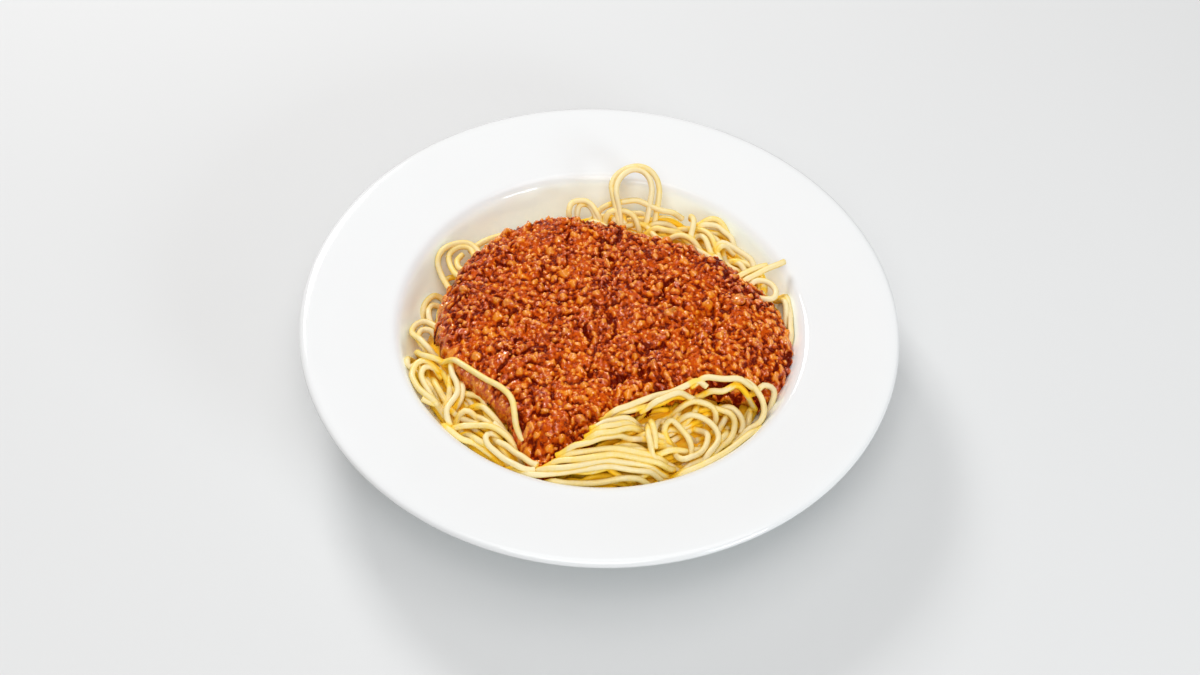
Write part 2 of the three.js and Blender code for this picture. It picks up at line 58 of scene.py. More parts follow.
Colour = tuple[float, float, float]
Point = tuple[float, float, float]
Place = tuple[float, float]
Range = tuple[float, float]
Socket = bpy.types.NodeSocket
Piece = bpy.types.Object


# ---------------------------------------------------------------- shapes in numbers
def smoothstep(value: np.ndarray) -> np.ndarray:
    """Eases 0..1 with flat ends."""
    held = np.clip(value, 0, 1)
    return held * held * (3 - 2 * held)


def round_the_clock(
    stations: Sequence[Sequence[float]], azimuth: np.ndarray, column: int = 1
) -> np.ndarray:
    """Smooth periodic value round the plate.

    Args:
        stations: rows of azimuth in degrees and values, in rising azimuth.
        azimuth: where to read, in degrees.
        column: which value of the rows.

    Returns:
        The value at each azimuth.
    """
    table = np.asarray(stations, float)[:, [0, column]]
    wrapped = np.vstack([table[-1:] - [[360, 0]], table, table[:1] + [[360, 0]]])
    angle = np.mod(azimuth, 360)
    after = np.searchsorted(wrapped[:, 0], angle, side="right")
    before, later = wrapped[after - 1], wrapped[after]
    share = (angle - before[..., 0]) / (later[..., 0] - before[..., 0])
    return before[..., 1] + (later[..., 1] - before[..., 1]) * smoothstep(share)


def lengths(steps: np.ndarray) -> np.ndarray:
    """Length of each row."""
    return np.linalg.norm(steps, axis=1)


def smooth_line(places: Sequence[Sequence[float]], step: float) -> np.ndarray:
    """Evenly spaced points along a centripetal Catmull-Rom line.

    Args:
        places: points that the line goes through.
        step: spacing of the points returned.

    Returns:
        One row per point.
    """
    through = np.asarray(places, float)
    padded = np.vstack([2 * through[0] - through[1], through, 2 * through[-1] - through[-2]])
    knots = np.concatenate([[0], np.cumsum(lengths(np.diff(padded, axis=0)) ** 0.5)])
    pieces = []
    for i in range(1, len(padded) - 2):
        p0, p1, p2, p3 = padded[i - 1 : i + 3]
        t0, t1, t2, t3 = knots[i - 1 : i + 3]
        t = np.linspace(t1, t2, STRETCH_POINTS, endpoint=False)[:, None]
        a1 = ((t1 - t) * p0 + (t - t0) * p1) / (t1 - t0)
        a2 = ((t2 - t) * p1 + (t - t1) * p2) / (t2 - t1)
        a3 = ((t3 - t) * p2 + (t - t2) * p3) / (t3 - t2)
        b1 = ((t2 - t) * a1 + (t - t0) * a2) / (t2 - t0)
        b2 = ((t3 - t) * a2 + (t - t1) * a3) / (t3 - t1)
        pieces.append(((t2 - t) * b1 + (t - t1) * b2) / (t2 - t1))
    fine = np.vstack([*pieces, through[-1:]])
    along = np.concatenate([[0], np.cumsum(lengths(np.diff(fine, axis=0)))])
    count = max(3, round(along[-1] / step)) + 1
    even = np.linspace(0, along[-1], count)
    return np.column_stack([np.interp(even, along, fine[:, k]) for k in range(fine.shape[1])])


def softened(heights: np.ndarray, cells: int, rounds: int = 2) -> np.ndarray:
    """Takes a running mean over some cells each way, more than once."""
    wide = 2 * cells
    for _ in range(rounds):
        for axis in (0, 1):
            first, last = np.take(heights, [0] * cells, axis), np.take(heights, [-1] * cells, axis)
            sums = np.cumsum(np.concatenate([first, heights, last], axis), axis=axis)
            upper = np.take(sums, range(wide, sums.shape[axis]), axis)
            lower = np.take(sums, range(0, sums.shape[axis] - wide), axis)
            heights = (upper - lower) / wide
    return heights


@dataclass(frozen=True)
class Unevenness:
    """Smooth seeded noise over the plate, from minus its height to its height."""

    seed: int
    pitch: float
    octaves: int = 1
    height: float = 1.0

    def at(self, x: np.ndarray, y: np.ndarray) -> np.ndarray:
        """Reads the noise.

        Args:
            x: places along X.
            y: places along Y.

        Returns:
            The value at each place.
        """
        total, weight, sum_of_weights = np.zeros(np.shape(x)), 1.0, 0.0
        for octave in range(self.octaves):
            total = total + weight * self._layer(x, y, self.pitch / 2**octave, self.seed + octave)
            sum_of_weights += weight
            weight *= OCTAVE_FADE
        return self.height * (total / sum_of_weights)

    @staticmethod
    def _layer(x: np.ndarray, y: np.ndarray, pitch: float, seed: int) -> np.ndarray:
        """One octave of lattice noise."""
        side = LATTICE_SIDE
        lattice = np.random.default_rng(seed).uniform(-1, 1, (side, side))
        u, v = np.asarray(x) / pitch + side, np.asarray(y) / pitch + side
        i, j = np.floor(u).astype(int), np.floor(v).astype(int)
        s, t = smoothstep(u - i), smoothstep(v - j)
        corner = [[lattice[(j + b) % side, (i + a) % side] for a in (0, 1)] for b in (0, 1)]
        low = corner[0][0] + (corner[0][1] - corner[0][0]) * s
        high = corner[1][0] + (corner[1][1] - corner[1][0]) * s
        return low + (high - low) * t


# ---------------------------------------------------------------- meshes and scene objects
def deselect_all() -> None:
    """Leaves nothing selected."""
    for chosen in bpy.context.selected_objects:
        chosen.select_set(False)


def make_active(obj: Piece) -> None:
    """Selects one object alone."""
    deselect_all()
    obj.select_set(True)
    bpy.context.view_layer.objects.active = obj


def mesh_object(
    name: str,
    points: np.ndarray,
    faces: np.ndarray | Sequence[Sequence[int]] = (),
    edges: Sequence[Sequence[int]] = (),
) -> Piece:
    """Makes a smooth-shaded mesh from arrays.

    Args:
        name: name of the piece.
        points: corners in millimetres.
        faces: corner numbers of each face.
        edges: corner numbers of each edge, where there are no faces.

    Returns:
        The new object, at the origin.
    """
    mesh = bpy.data.meshes.new(name)
    rows = faces.tolist() if isinstance(faces, np.ndarray) else faces
    mesh.from_pydata((np.asarray(points) * MM).tolist(), edges, rows)
    mesh.update()
    obj = bpy.data.objects.new(name, mesh)
    bpy.context.scene.collection.objects.link(obj)
    make_active(obj)
    bpy.ops.object.shade_smooth()
    return obj


def add_attribute(obj: Piece, name: str, values: np.ndarray) -> None:
    """Stores one number per corner for the material."""
    attribute = obj.data.attributes.new(name, "FLOAT", "POINT")
    attribute.data.foreach_set("value", np.asarray(values, np.float32))


def hand_over(obj: Piece, material: bpy.types.Material, node: str) -> Piece:
    """Dresses a finished piece and puts it in the place of its solid.

    Args:
        obj: the finished piece.
        material: its finish.
        node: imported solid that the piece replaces.

    Returns:
        The same piece.
    """
    obj.data.materials.clear()
    obj.data.materials.append(material)
    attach(obj, BODY)
    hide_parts(node)
    LOG.info("%s: %d faces", obj.name, len(obj.data.polygons))
    return obj


# ---------------------------------------------------------------- shader building
class Graph:
    """Short calls for building one node tree."""

    def __init__(self, tree: bpy.types.NodeTree) -> None:
        """Takes the tree to build in."""
        self.tree = tree

    def feed(self, made: bpy.types.Node, inputs: dict) -> None:
        """Gives a node's inputs their values or sockets, by name or number."""
        for key, value in inputs.items():
            if isinstance(value, bpy.types.NodeSocket):
                self.tree.links.new(value, made.inputs[key])
            else:
                made.inputs[key].default_value = value

    def node(self, kind: str, inputs: dict | None = None, **settings: object) -> bpy.types.Node:
        """Adds a node.

        Args:
            kind: Blender's name of the node type.
            inputs: values or sockets for its inputs, by name or number.
            **settings: properties of the node.

        Returns:
            The new node.
        """
        made = self.tree.nodes.new(kind)
        for key, value in settings.items():
            setattr(made, key, value)
        self.feed(made, inputs or {})
        return made

    def math(self, operation: str, first: object, second: object, clamp: bool = False) -> Socket:
        """Adds a Math node and returns its value."""
        inputs = {0: first, 1: second}
        return self.node("ShaderNodeMath", inputs, operation=operation, use_clamp=clamp).outputs[0]

    def shift(self, place: object, by: object) -> Socket:
        """Moves a place."""
        return self.node("ShaderNodeVectorMath", {0: place, 1: by}, operation="ADD").outputs["Vector"]

    def ramp(self, value: object, low: float, high: float) -> Socket:
        """Maps low..high to 0..1 with smooth ends."""
        inputs = {"Value": value, "From Min": low, "From Max": high}
        return self.node("ShaderNodeMapRange", inputs, interpolation_type="SMOOTHSTEP").outputs["Result"]

    def blend(self, share: object, first: object, second: object) -> Socket:
        """Mixes two colours by a share."""
        return self.node("ShaderNodeMix", {0: share, 6: first, 7: second}, data_type="RGBA").outputs[2]

    def place(self) -> Socket:
        """Object coordinates, in metres."""
        return self.node("ShaderNodeTexCoord").outputs["Object"]

    def noise(self, scale: object, detail: float, rough: float = 0.55, seed: float = 0.0) -> Socket:
        """Noise on object coordinates: its value, near 0.5."""
        place = self.shift(self.place(), (seed, seed, seed)) if seed else self.place()
        inputs = {"Vector": place, "Scale": scale, "Detail": detail, "Roughness": rough}
        return self.node("ShaderNodeTexNoise", inputs).outputs["Fac"]

    def attribute(self, name: str) -> Socket:
        """Reads a number stored on the mesh."""
        return self.node("ShaderNodeAttribute", attribute_name=name).outputs["Fac"]

    def bump(self, height: object, distance: float) -> Socket:
        """Turns a height into a normal."""
        return self.node("ShaderNodeBump", {"Height": height, "Distance": distance}).outputs["Normal"]


def rgba(colour: Colour) -> tuple[float, float, float, float]:
    """A colour with full alpha."""
    return (*colour, 1.0)


def new_group(name: str, inputs: dict[str, float | tuple], outputs: dict[str, str]) -> tuple:
    """Starts a shader node group.

    Args:
        name: name of the group.
        inputs: default value by name, a number or a colour.
        outputs: "Float" or "Color" by name.

    Returns:
        The group, its Graph, its inputs by name and the output node.
    """
    tree = bpy.data.node_groups.new(name, "ShaderNodeTree")
    for socket_name, value in inputs.items():
        kind = "NodeSocketColor" if isinstance(value, tuple) else "NodeSocketFloat"
        tree.interface.new_socket(socket_name, in_out="INPUT", socket_type=kind).default_value = value
    for socket_name, kind in outputs.items():
        tree.interface.new_socket(socket_name, in_out="OUTPUT", socket_type="NodeSocket" + kind)
    graph = Graph(tree)
    return tree, graph, graph.node("NodeGroupInput").outputs, graph.node("NodeGroupOutput")


class Effect(Enum):
    """Surface effects that several finishes share, each a node group built once."""

    MOTTLE = "mottle"
    CRUMBS = "crumbs"
    WET_FILM = "wet_film"
    THREE_TONES = "three_tones"

    def group(self) -> bpy.types.NodeTree:
        """The effect's node group, built at its first use."""
        found = bpy.data.node_groups.get(self.value)
        if found:
            return found
        builders = {
            Effect.MOTTLE: build_mottle,
            Effect.CRUMBS: build_crumbs,
            Effect.WET_FILM: build_wet_film,
            Effect.THREE_TONES: build_three_tones,
        }
        return builders[self]()

    def place(self, graph: Graph, inputs: dict[str, object]) -> bpy.types.bpy_prop_collection:
        """Puts the effect in a material with its own values, and returns its outputs."""
        return graph.node("ShaderNodeGroup", inputs, node_tree=self.group()).outputs


def build_mottle() -> bpy.types.NodeTree:
    """Cloudy mask between 0 and 1: large clouds broken up by finer ones."""
    finer, detail, large_share = 3.7, 2.0, 0.65
    tree, graph, given, outlet = new_group("mottle", {"Scale": 100.0, "Contrast": 1.0}, {"Mask": "Float"})
    large = graph.math("MULTIPLY", graph.noise(given["Scale"], detail), large_share)
    fine_noise = graph.noise(graph.math("MULTIPLY", given["Scale"], finer), detail, seed=3.1)
    mixed = graph.math("ADD", large, graph.math("MULTIPLY", fine_noise, 1 - large_share))
    spread = graph.math("MULTIPLY", graph.math("SUBTRACT", mixed, 0.5), given["Contrast"])
    graph.feed(outlet, {"Mask": graph.math("ADD", spread, 0.5, clamp=True)})
    return tree


def build_crumbs() -> bpy.types.NodeTree:
    """Close-set round knobs with a finer grain on them, and a mask that is 1 on their tops."""
    coarser, wander, finer, grain_height, tops = 0.8, 0.0009, 2.6, 0.35, (0.35, 0.75)
    tree, graph, given, outlet = new_group("crumbs", {"Scale": 700.0}, {"Height": "Float", "Tops": "Float"})
    uneven = graph.noise(graph.math("MULTIPLY", given["Scale"], coarser), 1.0, seed=5.9)
    bent = graph.shift(graph.place(), graph.math("MULTIPLY", graph.math("SUBTRACT", uneven, 0.5), wander))
    cells = graph.node("ShaderNodeTexVoronoi", {"Vector": bent, "Scale": given["Scale"]}, feature="SMOOTH_F1")
    domes = graph.math("SUBTRACT", 1.0, cells.outputs["Distance"])
    grain = graph.noise(graph.math("MULTIPLY", given["Scale"], finer), 1.0, 0.5, seed=2.2)
    height = graph.math("ADD", domes, graph.math("MULTIPLY", grain, grain_height))
    graph.feed(outlet, {"Height": height, "Tops": graph.ramp(domes, *tops)})
    return tree


def build_wet_film() -> bpy.types.NodeTree:
    """Fine relief and patchy gloss of a wet, oily skin."""
    coarser, patch = 0.35, (0.35, 0.65)
    tree, graph, given, outlet = new_group(
        "wet_film", {"Scale": 900.0, "Dull": 0.45, "Glossy": 0.15}, {"Height": "Float", "Roughness": "Float"}
    )
    patch_scale = graph.math("MULTIPLY", given["Scale"], coarser)
    patches = graph.ramp(graph.noise(patch_scale, 2.0, seed=1.7), *patch)
    span = graph.math("SUBTRACT", given["Dull"], given["Glossy"])
    roughness = graph.math("ADD", given["Glossy"], graph.math("MULTIPLY", patches, span))
    graph.feed(outlet, {"Height": graph.noise(given["Scale"], 1.0, 0.5, seed=7.3), "Roughness": roughness})
    return tree


def build_three_tones() -> bpy.types.NodeTree:
    """Colour from dark through middle to light as a tone goes from 0 to 1."""
    greys = {"Dark": (0.2, 0.2, 0.2, 1), "Middle": (0.5, 0.5, 0.5, 1), "Light": (0.8, 0.8, 0.8, 1)}
    tree, graph, given, outlet = new_group("three_tones", {"Tone": 0.5, **greys}, {"Color": "Color"})
    base = graph.blend(graph.ramp(given["Tone"], 0.0, 0.5), given["Dark"], given["Middle"])
    graph.feed(outlet, {"Color": graph.blend(graph.ramp(given["Tone"], 0.5, 1.0), base, given["Light"])})
    return tree


def mottle(graph: Graph, clouds: Range) -> Socket:
    """Places the mottle by its scale and contrast, and returns its mask."""
    return Effect.MOTTLE.place(graph, {"Scale": clouds[0], "Contrast": clouds[1]})["Mask"]


def wet_film(graph: Graph, scale: float, roughness: Range) -> bpy.types.bpy_prop_collection:
    """Places the wet film between a glossy and a dull roughness, and returns its outputs."""
    return Effect.WET_FILM.place(graph, {"Scale": scale, "Glossy": roughness[0], "Dull": roughness[1]})


def three_tones(graph: Graph, tone: Socket, *colours: Colour) -> Socket:
    """Places the three tones, from dark to light, and returns the colour."""
    named = dict(zip(("Dark", "Middle", "Light"), map(rgba, colours)))
    return Effect.THREE_TONES.place(graph, {"Tone": tone, **named})["Color"]


def new_material(name: str) -> tuple[bpy.types.Material, Graph, bpy.types.Node]:
    """Starts a material and returns it with its Graph and its Principled BSDF."""
    material = bpy.data.materials.new(name)
    material.use_nodes = True
    return material, Graph(material.node_tree), material.node_tree.nodes["Principled BSDF"]


@dataclass(frozen=True)
class PorcelainFinish:
    """White glaze with a faint orange peel, painted brighter and cooler in the well as painted light against
    the shade and the food's warm reflected light there, bare on the foot ring.

    Its heights are in metres.
    """

    glaze: Colour = (0.795, 0.793, 0.79)
    shade: Colour = (0.78, 0.779, 0.775)
    painted_well_light: Colour = (0.93, 1.0, 1.0)
    # painted light: a brighter, cooler glaze colour for the well, and the heights over which it takes over
    bare: Colour = (0.74, 0.71, 0.66)
    painted_well_light_below: Range = (0.041, 0.037)
    bare_below: Range = (0.0004, 0.0008)
    bare_roughness: float = 0.7
    clouds: Range = (22.0, 1.6)
    peel_scale: float = 55.0
    peel: float = 0.00006
    roughness: Range = (0.07, 0.15)
    ior: float = 1.5

    def material(self) -> bpy.types.Material:
        """Builds the shader."""
        material, graph, skin = new_material("glazed_porcelain")
        clouds = mottle(graph, self.clouds)
        height = graph.node("ShaderNodeSeparateXYZ", {0: graph.place()}).outputs["Z"]
        foot = graph.math("SUBTRACT", 1.0, graph.ramp(height, *self.bare_below))
        thin = graph.blend(clouds, rgba(self.glaze), rgba(self.shade))
        # painted light: below the lip the glaze is painted brighter and cooler
        glazed = graph.blend(graph.ramp(height, *self.painted_well_light_below), thin, rgba(self.painted_well_light))
        film = wet_film(graph, self.peel_scale, self.roughness)
        chalky = graph.math("MULTIPLY", foot, self.bare_roughness)
        graph.feed(skin, {
            "Base Color": graph.blend(foot, glazed, rgba(self.bare)),
            "Roughness": graph.math("MAXIMUM", film["Roughness"], chalky),
            "Normal": graph.bump(film["Height"], self.peel),
            "IOR": self.ior,
        })
        return material


@dataclass(frozen=True)
class PastaFinish:
    """Moist boiled pasta, with painted shade: amber towards each strand's edges as seen and where strands lie
    deep among others, pale elsewhere.
    """

    name: str
    pale: Colour = (0.86, 0.72, 0.42)
    middle: Colour = (0.92, 0.66, 0.13)
    amber: Colour = (1.0, 0.6, 0.015)
    own_tone: float = 0.75
    cloud_tone: float = 0.4
    clouds: Range = (260.0, 1.5)
    # painted shade: these three values turn each strand amber towards its edges as seen
    rim: float = 0.36
    edge_shade_blend: float = 0.4
    edge_shade_from: Range = (0.15, 0.95)
    film_scale: float = 700.0
    relief: float = 0.00007
    roughness: Range = (0.26, 0.45)
    ior: float = 1.38

    def material(self) -> bpy.types.Material:
        """Builds the shader. It reads the attributes tone and buried."""
        material, graph, skin = new_material(self.name)
        cloud = mottle(graph, self.clouds)
        own = graph.math("MULTIPLY", graph.attribute("tone"), self.own_tone)
        tone = graph.math("ADD", own, graph.math("MULTIPLY", cloud, self.cloud_tone))
        # painted shade: the tone is lowered towards each strand's edges as seen and where it lies deep, which
        # paints it amber
        facing = graph.node("ShaderNodeLayerWeight", {"Blend": self.edge_shade_blend}).outputs["Facing"]
        rim = graph.math("MULTIPLY", graph.ramp(facing, *self.edge_shade_from), self.rim)
        lit = graph.math("SUBTRACT", graph.math("SUBTRACT", tone, rim), graph.attribute("painted_shade"), clamp=True)
        film = wet_film(graph, self.film_scale, self.roughness)
        graph.feed(skin, {
            "Base Color": three_tones(graph, lit, self.amber, self.middle, self.pale),
            "Roughness": film["Roughness"],
            "Normal": graph.bump(film["Height"], self.relief),
            "IOR": self.ior,
        })
        return material


@dataclass(frozen=True)
class SauceFinish:
    """Wet skin of sauce or sauce-coated meat, with an oily glaze on its crests, painted light on crests and
    knob tops and painted shade in hollows.
    """

    name: str
    dark: Colour = (0.16, 0.004, 0.0002)
    middle: Colour = (0.56, 0.072, 0.001)
    light: Colour = (0.83, 0.26, 0.012)
    own_tone: float = 0.6
    # painted light and shade: how far crests lighten and hollows darken the colour
    crest_light_and_shade: float = 0.85
    cloud_tone: float = 0.7
    # painted light: how far the tops of the small knobs lighten the colour
    knob_top_light: float = 0.25
    darkened: float = 0.68
    scale: float = 620.0
    clouds: Range = (0.6, 2.4)
    relief: float = 0.0007
    roughness: Range = (0.12, 0.3)
    oil: Colour = (1.0, 0.5, 0.2)
    ior: float = 1.3
    glaze: float = 0.9
    glazed_from: Range = (0.5, 0.75)
    glaze_roughness: float = 0.15
    glaze_ior: float = 1.75

    def material(self) -> bpy.types.Material:
        """Builds the shader. It reads the attributes tone and crest."""
        material, graph, skin = new_material(self.name)
        crumbs = Effect.CRUMBS.place(graph, {"Scale": self.scale})
        cloud = mottle(graph, (self.scale * self.clouds[0], self.clouds[1]))
        crest = graph.attribute("crest")
        own = graph.math("MULTIPLY", graph.attribute("tone"), self.own_tone)
        # painted light and shade: lighter on crests, darker in hollows
        raised = graph.math("MULTIPLY", crest, self.crest_light_and_shade)
        speckle = graph.math("SUBTRACT", graph.math("MULTIPLY", cloud, self.cloud_tone), self.darkened)
        # painted light: the tops of the small knobs are painted lighter
        knobs = graph.math("MULTIPLY", crumbs["Tops"], self.knob_top_light)
        shaded = graph.math("ADD", own, raised)
        tone = graph.math("ADD", shaded, graph.math("ADD", speckle, knobs), clamp=True)
        graph.feed(skin, {
            "Base Color": three_tones(graph, tone, self.dark, self.middle, self.light),
            "Roughness": wet_film(graph, self.scale, self.roughness)["Roughness"],
            "Normal": graph.bump(crumbs["Height"], self.relief),
            "Coat Weight": graph.math("MULTIPLY", graph.ramp(crest, *self.glazed_from), self.glaze),
            "Coat Roughness": self.glaze_roughness,
            "Coat IOR": self.glaze_ior,
            "IOR": self.ior,
            "Specular Tint": rgba(self.oil),
        })
        return material


@dataclass(frozen=True)
class TableFinish:
    """Matt pale table top."""

    light: Colour = (0.7, 0.698, 0.695)
    shade: Colour = (0.67, 0.668, 0.665)
    clouds: Range = (1.5, 1.2)
    roughness: float = 0.9
    shine: float = 0.1

    def material(self) -> bpy.types.Material:
        """Builds the shader."""
        material, graph, skin = new_material("pale_table")
        clouds = mottle(graph, self.clouds)
        graph.feed(skin, {
            "Base Color": graph.blend(clouds, rgba(self.light), rgba(self.shade)),
            "Roughness": self.roughness,
            "Specular IOR Level": self.shine,
        })
        return material


# ---------------------------------------------------------------- plate
@dataclass
class Plate:
    """Deep rimmed plate, turned about its axis."""

    rim_radius: float = 135.0
    rim_height: float = 46.0
    wall: float = 4.2
    lip_radius: float = 93.2
    lip_height: float = 41.2
    floor_height: float = 7.0
    foot: Point = (50.0, 3.4, 2.6)
    segments: int = 160
    profile_step: float = 1.6
    weld: float = 0.01
    finish: PorcelainFinish = PorcelainFinish()

    def upper_face(self) -> list[Place]:
        """Radius and height from the middle of the floor to the rim's crest."""
        lip, top = self.lip_radius, self.lip_height
        return [
            (0, self.floor_height), (46, self.floor_height), (58, 8.4), (70, 12.8), (79, 19.6), (85, 27.6),
            (88.8, 34.8), (91, top - 2.2), (lip + 0.4, top - 0.1), (lip + 4, top + 0.4),
            (self.rim_radius - 1.6, self.rim_height),
        ]

    def rest_of_section(self) -> list[Place]:
        """Radius and height round the rim's edge and back under the plate to its axis."""
        rim, height, lip, top = self.rim_radius, self.rim_height, self.lip_radius, self.lip_height
        radius, width, foot = self.foot
        return [
            (rim, height - 1.3), (rim - 0.7, height - 3), (rim - 3, height - self.wall),
            (lip + 6.5, top - self.wall + 0.5), (lip + 1, top - 8.5), (88.5, 22), (76, 9.4), (56, foot),
            (radius + width / 2, 0), (radius - width / 2, 0), (radius - width / 2 - 1.4, foot), (0, foot),
        ]

    def top(self, radius: np.ndarray) -> np.ndarray:
        """Height of the upper face at a distance from the axis."""
        face = np.asarray(self.upper_face())
        return np.interp(radius, face[:, 0], face[:, 1])

    def wall_radius(self, height: np.ndarray) -> np.ndarray:
        """Distance from the axis at which the upper face reaches a height."""
        face = np.asarray(self.upper_face()[1:])
        return np.interp(height, face[:, 1], face[:, 0])

    def build(self) -> Piece:
        """Turns the section and dresses it.

        Returns:
            The plate.
        """
        section = smooth_line([*self.upper_face(), *self.rest_of_section()], self.profile_step)
        section = np.maximum(section, 0)
        section[[0, -1], 0] = 0
        points = np.column_stack([section[:, 0], np.zeros(len(section)), section[:, 1]])
        obj = mesh_object("plate_dressed", points, edges=[(i, i + 1) for i in range(len(points) - 1)])
        bpy.ops.object.mode_set(mode="EDIT")
        bpy.ops.mesh.select_all(action="SELECT")
        bpy.ops.mesh.spin(steps=self.segments, angle=2 * math.pi, center=(0, 0, 0), axis=(0, 0, 1))
        bpy.ops.mesh.select_all(action="SELECT")
        bpy.ops.mesh.remove_doubles(threshold=self.weld * MM)
        bpy.ops.mesh.normals_make_consistent(inside=False)
        bpy.ops.object.mode_set(mode="OBJECT")
        bpy.ops.object.shade_smooth()
        return hand_over(obj, self.finish.material(), "plate")


# ---------------------------------------------------------------- the heap's overall form
@dataclass
class Heap:
    """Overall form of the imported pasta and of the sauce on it.

    The rows of edge are azimuth, height at the plate's wall and width of the slope. Those of sauce_reach
    are azimuth and distance from the axis.
    """

    plate: Plate
    top: float = 40.0
    edge: Sequence[Point] = (
        (0, 32, 24), (45, 33, 26), (70, 28, 26), (100, 22, 20), (150, 24, 18),
        (175, 24, 18), (198, 31, 20), (235, 30, 26), (290, 30, 32), (325, 25, 28),
    )
    sauce_reach: Sequence[Place] = (
        (3, 85), (13, 79), (26, 69), (45, 61), (68, 56), (92, 57), (112, 66), (132, 71),
        (160, 72), (187, 72), (202, 70), (218, 66), (233, 66), (245, 76), (254, 88), (263, 77),
        (272, 63), (281, 56), (297, 52), (318, 56), (328, 69), (336, 82), (347, 86),
    )
    sauce_depth: float = 8.4
    sauce_edge: float = 3.2
    shoulder: float = 20.0
    brow: float = 1.5
    brow_fall: float = 4.0
    brow_overlap: float = 0.4
    hump_height: float = 2.2
    hump_back: float = 30.0
    hump_spread: float = 1800.0

    def pasta_top(self, x: np.ndarray, y: np.ndarray) -> np.ndarray:
        """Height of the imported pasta."""
        azimuth = np.degrees(np.arctan2(y, x))
        edge = round_the_clock(self.edge, azimuth, 1)
        slope = round_the_clock(self.edge, azimuth, 2)
        inward = (self.plate.wall_radius(edge) - np.hypot(x, y)) / slope
        return edge + (self.top - edge) * smoothstep(inward) + np.minimum(inward, 0) * slope

    def inside_sauce(self, x: np.ndarray, y: np.ndarray) -> np.ndarray:
        """Distance inside the sauce's outline, negative outside it."""
        return round_the_clock(self.sauce_reach, np.degrees(np.arctan2(y, x))) - np.hypot(x, y)

    def sauce_thickness(self, x: np.ndarray, y: np.ndarray, inside: np.ndarray) -> np.ndarray:
        """Depth of sauce, rounded off at its outline and thickest over the hump at the back."""
        hump = self.hump_height * np.exp(-(x**2 + (y - self.hump_back) ** 2) / self.hump_spread)
        full = smoothstep(np.sqrt(np.maximum(inside, 0) / self.shoulder))
        edge = self.sauce_edge * np.sqrt(np.clip(1 - (np.minimum(inside, 0) / self.brow) ** 2, 0, 1))
        below = self.brow_fall * np.clip(-inside - self.brow + self.brow_overlap, 0, None)
        return edge - below + (self.sauce_depth - self.sauce_edge + hump) * full


class Ground:
    """Height map of what the next strand or crumb lies on."""

    def __init__(self, reach: float = 104.4, cell: float = 0.42) -> None:
        """Starts an empty map.

        Args:
            reach: half the map's side.
            cell: spacing of its points.
        """
        self.reach, self.cell = reach, cell
        axis = np.arange(-reach, reach + cell / 2, cell)
        self.x, self.y = np.meshgrid(axis, axis)
        self.height = np.zeros(self.x.shape)

    def window(self, x: float, y: float, radius: float) -> tuple[slice, slice]:
        """Cells round a place."""
        span = int(math.ceil(radius / self.cell))
        column, row = round((x + self.reach) / self.cell), round((y + self.reach) / self.cell)
        return slice(row - span, row + span + 1), slice(column - span, column + span + 1)

    def ball(self, x: float, y: float, radius: float) -> tuple[tuple[slice, slice], np.ndarray]:
        """Cells round a place and how far a ball rises over its middle there."""
        cells = self.window(x, y, radius)
        away = (self.x[cells] - x) ** 2 + (self.y[cells] - y) ** 2
        rise = np.where(away < radius**2, np.sqrt(np.maximum(radius**2 - away, 0)), -np.inf)
        return cells, rise

    def rest(self, x: float, y: float, radius: float) -> float:
        """Lowest height of a ball's middle at a place."""
        cells, rise = self.ball(x, y, radius)
        return float((self.height[cells] + rise).max())

    def stamp(self, x: float, y: float, z: float, radius: float) -> None:
        """Adds the top of a ball."""
        cells, rise = self.ball(x, y, radius)
        self.height[cells] = np.maximum(self.height[cells], z + rise)

    def at(self, x: np.ndarray, y: np.ndarray) -> np.ndarray:
        """Reads the map at the nearest cells."""
        columns = np.clip(np.round((x + self.reach) / self.cell).astype(int), 0, self.x.shape[1] - 1)
        rows = np.clip(np.round((y + self.reach) / self.cell).astype(int), 0, self.x.shape[0] - 1)
        return self.height[rows, columns]


# ---------------------------------------------------------------- spaghetti
class Loose(Enum):
    """Which end of a strand lies open. The others dip under their neighbours."""

    NEITHER = "neither"
    START = "start"
    END = "end"


@dataclass(frozen=True)
class Strand:
    """One strand by its flat route, seen from above."""

    places: tuple[Place, ...]
    loose: Loose = Loose.NEITHER


@dataclass(frozen=True)
class FillerLayer:
    """Strands that fill the heap: their pitch, how far they swing and how far their ends drift."""

    pitch: float
    swing: float
    drift: float


